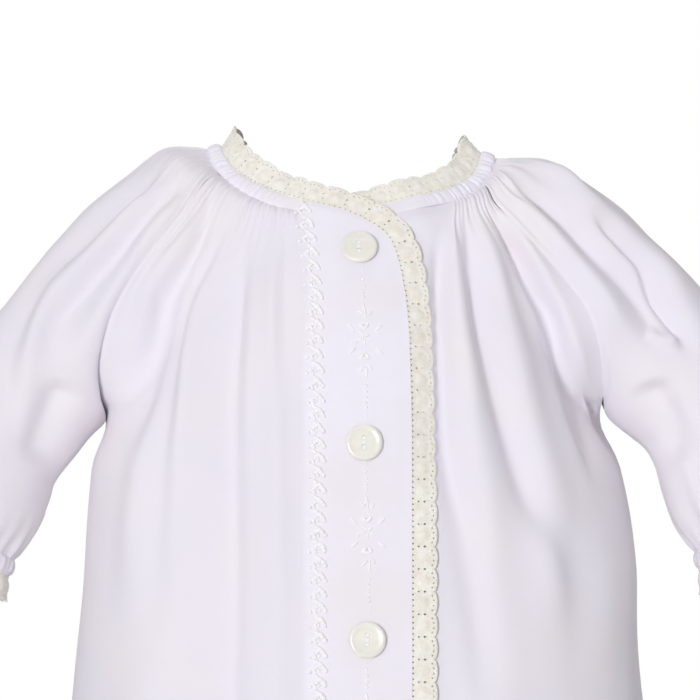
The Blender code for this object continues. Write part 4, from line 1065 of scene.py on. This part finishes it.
def eyelet_material():
    parts = blank_material("cream embroidered eyelet cotton")
    tree = parts[1]
    place = node(tree, "ShaderNodeTexCoord").outputs["Object"]
    cloud = node(tree, "ShaderNodeTexNoise", {"Vector": place, "Scale": 320.0, "Detail": 2.0})
    colour = mixed(tree, ramped(tree, cloud.outputs[0], 0.35, 0.65), EYELET_GROUND, EYELET_THREAD)
    threads = node(tree, "ShaderNodeTexNoise", {"Vector": place, "Scale": 1 / STITCH_SPACING, "Detail": 1.0})
    constants = {
        "Roughness": 0.8,
        "Specular IOR Level": 0.3,
        "Sheen Weight": 0.2,
        "Subsurface Weight": 0.4,
        "Subsurface Radius": (0.0030, 0.0028, 0.0022),
    }
    return surfaced(parts, colour, constants, (threads.outputs[0], 0.35, 0.0002))


EYELET = eyelet_material()
EDGING_TREE = edging_tree()
EDGING_UNIT = edging_unit()


def slow_waves(count, seed, every):
    """Uneven waves from -1 to 1 along count points, one each so many points."""
    draw = np.random.default_rng(seed)
    marks = np.arange(0, count + 2 * every, every)
    return through(np.arange(count), marks, draw.uniform(-1, 1, len(marks)))


def edging(name, path, ruffle, seed, solids):
    """Edging along a seam, given with its ways across, from the seam to the crests, and out."""
    seam, across, out = path
    count = round(lengths(seam)[-1] / (UNIT_WIDE * 0.001))
    edges = [(k, k + 1) for k in range(len(seam) - 1)]
    start = seeds(name + " seam", seam, edges, across=across, out=out, ruffle=ruffle)
    values = {"Unit": EDGING_UNIT, "Count": count, "Pitch": UNIT_WIDE * 0.001, "Material": EYELET}
    piece = grown(EDGING_TREE, start, name, {**values, "Uneven": 0.0004, "Seed": float(seed)})
    work = bmesh.new()
    work.from_mesh(piece.data)
    bmesh.ops.holes_fill(work, edges=[edge for edge in work.edges if edge.is_boundary], sides=0)
    bmesh.ops.recalc_face_normals(work, faces=work.faces[:])
    work.to_mesh(piece.data)
    work.free()
    piece.data.shade_smooth()
    piece.data.set_sharp_from_angle(angle=math.radians(55))
    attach(piece, "root")
    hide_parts(*solids)


# ---- Neck and lap edging
# One strip runs from under the lap round the neck, where it stands up from the casing and
# leans in, over the corner of the lap and down its free edge to the hem.

UNDER_EDGING_START = -0.0060
NECK_RUFFLE = 0.0015
SEWN_UNDER = 0.0004  # the strip's sewn edge lies this far past the seam
CORNER_EASE = 13  # rows of the path over which the two stretches run into each other


def eased(values, at, reach):
    """The rows smoothed near one of them."""
    kernel = np.hanning(2 * reach + 1)[:, None] / np.hanning(2 * reach + 1).sum()
    padded = np.concatenate([values[:1].repeat(reach, 0), values, values[-1:].repeat(reach, 0)])
    soft = np.stack([(padded[k : k + 2 * reach + 1] * kernel).sum(0) for k in range(len(values))])
    return values + (soft - values) * np.exp(-(((np.arange(len(values)) - at) / reach) ** 2))[:, None]


turns = np.linspace(neck_turn(UNDER_EDGING_START) - 360, neck_end - 0.8, 500)
seam = neck_at(turns)
lean = neck_value(turns, 2)[:, None]
inward = unit(np.stack([NECK_MIDDLE - seam[:, 0], -seam[:, 1], np.zeros(len(seam))], axis=-1))
tangent = unit(np.gradient(seam, axis=0))
across = np.cos(lean) * (0, 0, 1) + np.sin(lean) * inward
across = unit(across - tangent * (across * tangent).sum(-1, keepdims=True))
out = unit(np.cross(tangent, across))
out = np.where((out * inward).sum(-1, keepdims=True) > 0, -out, out)
hidden = under_lap(seam) * (turns < -90)
neck = (seam - outward(seam) * (UNDER_DROP * hidden)[:, None], across, out)

corner = path_through(LAP_CORNER_ROWS, 40)
edge = path_through(LAP_EDGE_ROWS, 140)[1:]
straight = np.column_stack([np.full(260, LAP_EDGE), np.linspace(edge[-1][1], HEM_HEIGHT, 261)[1:]])
seen = np.concatenate([corner, edge, straight])
seam = on_front(seen[:, 0], seen[:, 1])
out = outward(seam)
across = unit(np.cross(out, unit(np.gradient(seam, axis=0))))
across = np.where((across[:, :1] + across[:, 2:]) < 0, -across, across)
crest = seated(seam + across * CREST_UP * 0.001)
crest_out = outward(crest)
seam = seam + out * folds(seam, out)[:, None]
crest = crest + crest_out * folds(crest, crest_out)[:, None]
lap = (seam - out * 0.0002, (crest - seam) / (CREST_UP * 0.001), out)

seam, across, out = (eased(np.concatenate(pair), 500, CORNER_EASE) for pair in zip(neck, lap))
seam = eased(seam, 500, 5)
ruffle = np.concatenate([NECK_RUFFLE * slow_waves(500, 3, 17), 0.0002 * slow_waves(len(seen), 9, 23) - 0.0005])
ruffle = eased(ruffle[:, None], 500, CORNER_EASE)[:, 0]
solids = ("edging_neck_right", "edging_neck_left", "edging_lap")
path = (seam - across * SEWN_UNDER, across, unit(out))
edging("neck_and_lap_edging", path, ruffle, 3, solids)

# ---- Cuff edgings
# The same strip round each wrist below the casing.

for side, word in ((-1, "right"), (1, "left")):
    start_ring = sleeve_ring(CUFF_EDGE_SHARE, side, 180)
    end_ring = sleeve_ring(1.0, side, 180)
    across = (end_ring - start_ring) / (CREST_UP * 0.001)
    out = unit(start_ring - sleeve_frame(CUFF_EDGE_SHARE, side)[0])
    ruffle = 0.0006 * slow_waves(181, 13, 12)
    ruffle[-1] = ruffle[0]
    path = (start_ring - across * SEWN_UNDER, across, out)
    edging(f"cuff_edging_{word}", path, ruffle, 13, [f"edging_cuff_{word}"])

bpy.data.objects.remove(EDGING_UNIT)

# ---- Buttons
# Two-hole buttons turned from mother of pearl, with a shallow well and a rounded rim. Seven
# of them close the lap, and the lowest one that the photo shows is cut by its edge.

BUTTON_RADIUS, WELL_RADIUS, RIM_RADIUS = 6.35, 4.3, 5.35  # mm
BUTTON_LOW, WELL_UP, RIM_UP, EDGE_UP = 0.05, 1.75, 1.98, 1.05
HOLE_RADIUS, HOLE_PITCH = 0.85, 3.2
BUTTON_CLEAR = 0.00035
BUTTON_LINE = ((0.0338, 0.0007), (0.1013, 0.0024), (0.1698, 0.0035), (0.5000, 0.0035))
BUTTON_TOP, BUTTON_PITCH, BUTTON_COUNT = -0.0338, 0.0678, 7


def button_top(x, y):
    r = np.hypot(x, y)
    well = WELL_UP + (RIM_UP - WELL_UP) * soft_step(r, WELL_RADIUS, RIM_RADIUS)
    over = np.clip((r - RIM_RADIUS) / (BUTTON_RADIUS - RIM_RADIUS), 0, 1)
    return EDGE_UP + (well - EDGE_UP) * np.sqrt(np.clip(1 - over * over, 0, 1))


def button_under(x, y):
    r = np.hypot(x, y)
    return BUTTON_LOW + 0.75 * np.clip((r - WELL_RADIUS) / (BUTTON_RADIUS - WELL_RADIUS), 0, 1) ** 1.6


def button_mesh():
    rings = [(6.30, 56), (6.20, 56), (6.02, 56), (5.75, 56), (5.4, 48), (5.05, 48), (4.7, 40), (4.3, 32), (3.6, 24)]
    inside = np.concatenate([ellipse(0, 0, r, r, count) for r, count in rings])
    holes = [ellipse(0, way * HOLE_PITCH / 2, HOLE_RADIUS, HOLE_RADIUS, 16) for way in (-1, 1)]
    return pierced("button", ellipse(0, 0, BUTTON_RADIUS, BUTTON_RADIUS, 56), holes, inside, button_top, button_under)


# Mother of pearl, the lining of a trochus shell: cream with a green and a faint pink cast that
# drift in long bands, polished to a soft gloss over clear layers.
PEARL_CREAM, PEARL_GREEN, PEARL_PINK = "#f6f4e9", "#edefe2", "#f6ece6"


def pearl_material():
    parts = blank_material("mother of pearl, turned and polished")
    tree = parts[1]
    place = node(tree, "ShaderNodeTexCoord").outputs["Object"]
    drawn = node(tree, "ShaderNodeMapping", {"Vector": place, "Scale": (90.0, 90.0, 260.0)}).outputs[0]
    drift = node(tree, "ShaderNodeTexNoise", {"Vector": drawn, "Scale": 1.0, "Detail": 2.0, "Distortion": 1.2})
    green = ramped(tree, drift.outputs[0], 0.38, 0.62)
    pink = ramped(tree, drift.outputs[1], 0.56, 0.72)
    colour = mixed(tree, pink, mixed(tree, green, PEARL_CREAM, PEARL_GREEN), PEARL_PINK)
    constants = {
        "Roughness": 0.28,
        "Specular IOR Level": 0.6,
        "Coat Weight": 0.7,
        "Coat Roughness": 0.12,
        "Subsurface Weight": 0.2,
        "Subsurface Radius": (0.0012, 0.0012, 0.0010),
    }
    return surfaced(parts, colour, constants)


PEARL = pearl_material()
BUTTON = button_mesh()
button_seats = []
for number in range(BUTTON_COUNT):
    height = BUTTON_TOP - number * BUTTON_PITCH
    x = float(np.interp(-height, [row[0] for row in BUTTON_LINE], [row[1] for row in BUTTON_LINE]))
    seat = on_front(x, height)
    out = outward(seat)
    seat = seat + out * (folds(seat, out) + BUTTON_CLEAR)
    up = unit(np.array([0.0, 0.0, 1.0]) - out * out[2])
    button_seats.append((seat, up, out))
    turned_mesh = BUTTON.copy()
    turn = Matrix((np.cross(up, out), up, out)).transposed()
    turned_mesh.transform(Matrix.Translation(Vector(seat)) @ turn.to_4x4())
    turned_mesh.materials.append(PEARL)
    button = placed(f"button_{number + 1}_pearl", turned_mesh)
    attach(button, "root")
    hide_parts(f"button_{number + 1}")

# ---- Stitches
# White cotton thread with a soft sheen: the column of feather stitch beside the gathers, the
# small embroidered motifs between the buttons, the button threads and the hem stitching.

THREAD_WHITE = "#fffefd"


def thread_material():
    parts = blank_material("white stranded cotton thread")
    tree = parts[1]
    place = node(tree, "ShaderNodeTexCoord").outputs["Object"]
    strands = node(tree, "ShaderNodeTexNoise", {"Vector": place, "Scale": 1500.0, "Detail": 1.0}).outputs[0]
    colour = mixed(tree, strands, THREAD_WHITE, "#f8f7fb")
    return surfaced(parts, colour, {"Roughness": 0.42, "Sheen Weight": 0.3}, (strands, 0.2, 0.0001))


def stitch_unit():
    """One laid stitch, 1 long, 1 wide and 1 high, with its underside on the cloth."""
    work = bmesh.new()
    rings = []
    for x, wide in ((-0.46, 0.42), (-0.30, 0.82), (0.0, 1.0), (0.30, 0.82), (0.46, 0.42)):
        around = [math.pi * k / 5 - math.pi * 0.1 for k in range(7)]
        places = [(x, wide * 0.5 * math.cos(a), wide * 0.5 * (math.sin(a) + 0.3)) for a in around]
        rings.append([work.verts.new(place) for place in places])
    first, last = work.verts.new((-0.5, 0, 0.05)), work.verts.new((0.5, 0, 0.05))
    for low, high in zip(rings[:-1], rings[1:]):
        for k in range(7):
            work.faces.new([low[k], low[(k + 1) % 7], high[(k + 1) % 7], high[k]])
    for k in range(7):
        work.faces.new([first, rings[0][(k + 1) % 7], rings[0][k]])
        work.faces.new([last, rings[-1][k], rings[-1][(k + 1) % 7]])
    bmesh.ops.recalc_face_normals(work, faces=work.faces[:])
    mesh = bpy.data.meshes.new("stitch")
    work.to_mesh(mesh)
    work.free()
    mesh.shade_smooth()
    return placed("stitch", mesh)


def stitches_tree():
    """Lays one stitch at each point, turned along it and out of the cloth, at its own size."""
    kinds = {"Places": "Geometry", "Stitch": "Object", "Uneven": "Float", "Seed": "Int", "Material": "Material"}
    tree, given = new_tree("stitches laid on cloth", "Stitches", **kinds)
    shape = node(tree, "GeometryNodeObjectInfo", {"Object": given["Stitch"]}).outputs["Geometry"]
    read = {}
    for name in ("along", "out", "size"):
        value = node(tree, "GeometryNodeInputNamedAttribute", {"Name": name}, data_type="FLOAT_VECTOR")
        read[name] = value.outputs["Attribute"]
    turner = "FunctionNodeAlignRotationToVector"
    turn = node(tree, turner, {"Vector": read["along"]}, axis="X").outputs[0]
    turn = node(tree, turner, {"Rotation": turn, "Vector": read["out"]}, axis="Z", pivot_axis="X").outputs[0]
    least, most = (maths(tree, operation, 1.0, given["Uneven"]) for operation in ("SUBTRACT", "ADD"))
    share = node(tree, "FunctionNodeRandomValue", {2: least, 3: most, "Seed": given["Seed"]}).outputs[1]
    size = scaled(tree, read["size"], share)
    inputs = {"Points": given["Places"], "Instance": shape, "Rotation": turn, "Scale": size}
    laid = node(tree, "GeometryNodeInstanceOnPoints", inputs).outputs[0]
    whole = node(tree, "GeometryNodeRealizeInstances", {"Geometry": laid}).outputs[0]
    return finished(tree, "Stitches", whole, given["Material"])


THREAD = thread_material()
STITCHES_TREE = stitches_tree()
STITCH = stitch_unit()


def on_cloth(skin):
    """What finds the place on a dressed panel that is seen from the front at x and z."""
    grid, out, rise = skin
    cloth = grid + out * rise[..., None]
    normal = facing_out(cloth, out)[cloth[..., 1] < 0]
    cloth = cloth[cloth[..., 1] < 0]

    def find(x, z):
        k = ((cloth[:, [0, 2]] - (x, z)) ** 2).sum(-1).argmin()
        at, n = cloth[k], normal[k]
        return np.array([x, at[1] - (n[0] * (x - at[0]) + n[2] * (z - at[2])) / n[1], z]), n

    return find


MOTIF_WEIGHT, MOTIF_STAND = 1.35, 1.9
FEATHER_WEIGHT, FEATHER_STAND = 1.3, 1.6


def laid(find, rows):
    """Stitches between two places seen from the front: rows of x, z, x, z, width and height in mm."""
    made = []
    for x1, z1, x2, z2, wide, high in rows:
        (a, na), (b, nb) = (find(x * 0.001, z * 0.001) for x, z in ((x1, z1), (x2, z2)))
        length = float(np.linalg.norm(b - a))
        out = unit(na + nb)
        made.append(((a + b) / 2 - out * 0.00005, (b - a) / length, out, (length, wide * 0.001, high * 0.001)))
    return made


def stitched(name, stitches, seed, uneven=0.08):
    places, along, out, size = zip(*stitches)
    start = seeds(name + " places", [tuple(place) for place in places], [], along=along, out=out, size=size)
    values = {"Stitch": STITCH, "Uneven": uneven, "Seed": seed, "Material": THREAD}
    piece = grown(STITCHES_TREE, start, name, values)
    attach(piece, "root")


# One repeat of the feather stitch: an arm down to the right, one down to the left, its knot
FEATHER_PITCH = 5.15
FEATHER_REPEAT = (  # across and up from its middle at each end, width, height, in mm
    (-1.5, 1.7, 0.4, 0.5, 1.15, 0.95), (-0.2, 1, 1.6, -0.5, 1.35, 1.1), (0.9, 0.1, 2.2, -1.5, 1.45, 1.15),
    (1.7, -0.9, 2.7, -2.6, 1.35, 1.05), (0.5, 0.7, -0.3, -0.8, 0.95, 0.85), (0, -0.2, -1.4, -1.2, 1.05, 0.9),
    (-1, -0.9, -2.1, -2.1, 1.05, 0.85), (-2.6, -1.9, -3.2, -2.8, 1.1, 0.9), (-1.7, -1.5, -0.6, -3.1, 0.85, 0.8),
    (0.3, -1.2, 0, -2.6, 0.8, 0.65),
)
FEATHER_LINE = (  # height, across, in mm
    (-15.5, -19.2), (-27, -17.2), (-37.6, -15.7), (-48, -14.6), (-72.4, -14.3), (-93.3, -13.9), (-121, -13.6),
    (-155.6, -13.2), (-500, -13.2),
)
MOTIF = (  # from its middle, in mm: x, z, x, z, width, height
    (0, 0.1, -1.84, 2.09, 0.55, 0.5), (0, 0.1, 1.84, 1.04, 0.55, 0.5), (0, 0, -3.06, -1.04, 0.6, 0.5),
    (-3, -1, -3.3, -2.5, 0.55, 0.5), (0, 0, 2.78, -1.32, 0.6, 0.5), (0, 0, 0.14, -2.92, 0.55, 0.5),
    (-6.02, 4.87, -3.34, 2.09, 0.8, 0.6), (6.16, 4.66, 3.58, 2.09, 0.8, 0.6),
    (-5.74, -5.88, -3.06, -3.48, 0.8, 0.6), (3.58, -3.48, 6.51, -5.74, 0.8, 0.6),
    (-1.84, 5.05, -0.1, 2.85, 1.1, 0.7), (1.64, 5.05, -0.3, 2.85, 1.1, 0.7), (-1.7, 5, 1.6, 5, 0.6, 0.6),
    (-1.84, -7.45, 0, -5.35, 1.1, 0.7), (1.84, -7.45, 0.2, -5.35, 1.1, 0.7), (-1.6, -7.4, 1.7, -7.4, 0.6, 0.6),
    (-0.56, 12.5, 0.59, 6.26, 0.7, 0.6), (-2.54, 9.74, -0.14, 7.86, 0.75, 0.6), (2.5, 9.43, 0.94, 7.45, 0.75, 0.6),
    (-2.19, -12.1, 0.24, -9.99, 0.75, 0.6), (2.68, -11.1, 1.29, -9.74, 0.75, 0.6),
    (0.8, -9.85, 0.8, -14.1, 0.7, 0.6), (-0.5, 14.9, -0.2, 13.8, 0.7, 0.6), (-0.5, 16.6, -0.2, 15.5, 0.75, 0.6),
    (-0.5, 18.7, -0.1, 17.5, 0.75, 0.6), (-0.6, 21, -0.2, 19.9, 0.7, 0.6), (-0.6, 25.3, -0.5, 22.2, 0.35, 0.3),
    (0.5, -16.1, 0.7, -17.1, 0.75, 0.6), (0.4, -18.3, 0.7, -19.4, 0.75, 0.6), (0.5, -20.4, 0.8, -21.4, 0.7, 0.6),
    (0.5, -22.2, 0.7, -23.1, 0.7, 0.6), (0.6, -23.7, 0.8, -24.7, 0.65, 0.6), (0.8, -25.6, 0.9, -28.6, 0.35, 0.3),
)
MOTIF_MIDDLES = ((2.54, -65.1), (3.48, -131.9), (3.7, -199.8), (3.7, -267.6), (3.7, -335.4), (3.7, -403.2))

find = on_cloth(front_right_skin)
draw = np.random.default_rng(5)
feather = []
for k in range(round((500.0 - 18.4) / FEATHER_PITCH)):
    z = -18.4 - k * FEATHER_PITCH
    x = float(np.interp(-z, [-row[0] for row in FEATHER_LINE], [row[1] for row in FEATHER_LINE]))
    for x1, z1, x2, z2, wide, high in FEATHER_REPEAT:
        dx, dz = draw.uniform(-0.22, 0.22, 2)
        size = (wide * FEATHER_WEIGHT, high * FEATHER_STAND)
        feather.append((x + x1 + dx, z + z1 + dz, x + x2 + dx, z + z2 - dz, *size))
stitched("feather_stitch", laid(find, feather), 1)

motifs = [
    (x + x1, z + z1, x + x2, z + z2, wide * MOTIF_WEIGHT, high * MOTIF_STAND)
    for x, z in MOTIF_MIDDLES
    for x1, z1, x2, z2, wide, high in MOTIF
]
stitched("embroidered_motifs", laid(find, motifs), 2, 0.05)

threads = []
for seat, up, out in button_seats:
    right = np.cross(up, out)
    for across in (-0.42, 0.0, 0.42):
        middle = seat + right * across * 0.001 + out * (WELL_UP - 0.05) * 0.001
        threads.append((middle, up, out, (0.0020, 0.00055, 0.0006)))
    for way in (-0.5, 0.5):
        # The thread fills each hole a little below the face
        hole = seat + up * way * HOLE_PITCH * 0.001 + out * (WELL_UP - 0.75) * 0.001
        threads.append((hole, up, out, (0.0019, 0.0019, 0.0008)))
stitched("button_threads", threads, 3, 0.03)


def running(line, out, pitch, size):
    """Stitches end to end along a line of places on the cloth."""
    marks = lengths(line)
    at = np.arange(pitch / 2, marks[-1], pitch)
    places, ways, outs = (read_at(at, marks, values) for values in (line, np.gradient(line, axis=0), out))
    return [(p, unit(w), unit(o), size) for p, w, o in zip(places, ways, outs)]


hem = []
for grid, out, rise in (front_right_skin, front_left_skin, back_skin):
    row = int(np.abs(grid[:, grid.shape[1] // 2, 2] - (HEM_HEIGHT + HEM_FOLD)).argmin())
    line = grid[row] + out[row] * rise[row][:, None]
    hem += running(line, out[row], 0.0028, (0.0021, 0.0003, 0.0003))
stitched("hem_stitches", hem, 4, 0.1)
bpy.data.objects.remove(STITCH)

# ---- Floor, light and camera
# A plain pale floor and soft studio light. The camera looks slightly up, from in front.

floor_mesh = bpy.data.meshes.new("floor")
FLOOR_REACH, FLOOR_HEIGHT = 6.0, HEM_HEIGHT - 0.012
floor_mesh.from_pydata(
    [(x * FLOOR_REACH, y * FLOOR_REACH, FLOOR_HEIGHT) for x, y in ((-1, -1), (1, -1), (1, 1), (-1, 1))],
    [],
    [(0, 1, 2, 3)],
)
placed("floor", floor_mesh)
parts = blank_material("matt white paper")
grain = node(parts[1], "ShaderNodeTexNoise", {"Scale": 40.0}).outputs[0]
floor_mesh.materials.append(surfaced(parts, mixed(parts[1], grain, "#f6f6f6", "#fafafa"), {"Roughness": 0.95}))

scene = bpy.context.scene
scene.view_settings.view_transform = "Standard"
scene.view_settings.look = "None"
scene.view_settings.exposure = 0.0

# Seen directly the studio is plain white, and it lights the cloth more softly than that
world = bpy.data.worlds.new("studio")
scene.world = world
world.use_nodes = True
sky = world.node_tree
sky.nodes.clear()
seen = node(sky, "ShaderNodeBackground", {"Color": (1, 1, 1, 1), "Strength": 1.0})
lighting = node(sky, "ShaderNodeBackground", {"Color": linear("#f9f7f9"), "Strength": 0.52})
rays = node(sky, "ShaderNodeLightPath")
split = {0: rays.outputs["Is Camera Ray"], 1: lighting.outputs[0], 2: seen.outputs[0]}
studio = node(sky, "ShaderNodeMixShader", split)
node(sky, "ShaderNodeOutputWorld", {"Surface": studio.outputs[0]})

LIGHTS = (  # name, place, aimed at, size in metres, watts, colour, cone in degrees for a spot
    ("key", (-0.62, -1.88, -0.06), (0.020, 0.0, -0.11), 0.28, 252.0, "#fdfdff", 12.4),
    ("low left", (-1.00, -1.50, -0.75), (0.0, 0.0, -0.12), 0.3, 0.8, "#fffdf6", 0),
    ("fill", (1.20, -1.30, 0.40), (0.0, 0.0, -0.12), 1.2, 1.0, "#faf9ff", 0),
    ("top", (0.10, 0.10, 1.30), (0.0, 0.0, -0.05), 0.8, 2.0, "#ffffff", 0),
)
for name, place, aim, size, watts, colour, cone in LIGHTS:
    lamp = bpy.data.lights.new(name, "SPOT" if cone else "AREA")
    if cone:
        lamp.spot_size, lamp.spot_blend, lamp.shadow_soft_size = math.radians(cone), 1.0, size
    else:
        lamp.size = size
    lamp.energy = watts
    lamp.color = linear(colour)[:3]
    lamp_object = placed(name, lamp)
    lamp_object.location = place
    lamp_object.rotation_euler = (Vector(aim) - Vector(place)).to_track_quat("-Z", "Y").to_euler()

CAMERA_AWAY, CAMERA_RISE = 2.2, math.radians(-2.0)
PIXEL = 0.000348  # metres of gown to one of the picture's 700 pixels
AIM = Vector(((350 - 357) * PIXEL, -0.045, -(350 - 152) * PIXEL + 0.0001))
camera = bpy.data.cameras.new("camera")
camera.sensor_width = 36
camera.lens = 36 * CAMERA_AWAY / (700 * PIXEL)
camera.clip_end = 50
camera_object = placed("camera", camera)
toward = Vector((0, math.cos(CAMERA_RISE), -math.sin(CAMERA_RISE)))
camera_object.location = AIM - toward * CAMERA_AWAY
camera_object.rotation_euler = toward.to_track_quat("-Z", "Y").to_euler()
scene.camera = camera_object
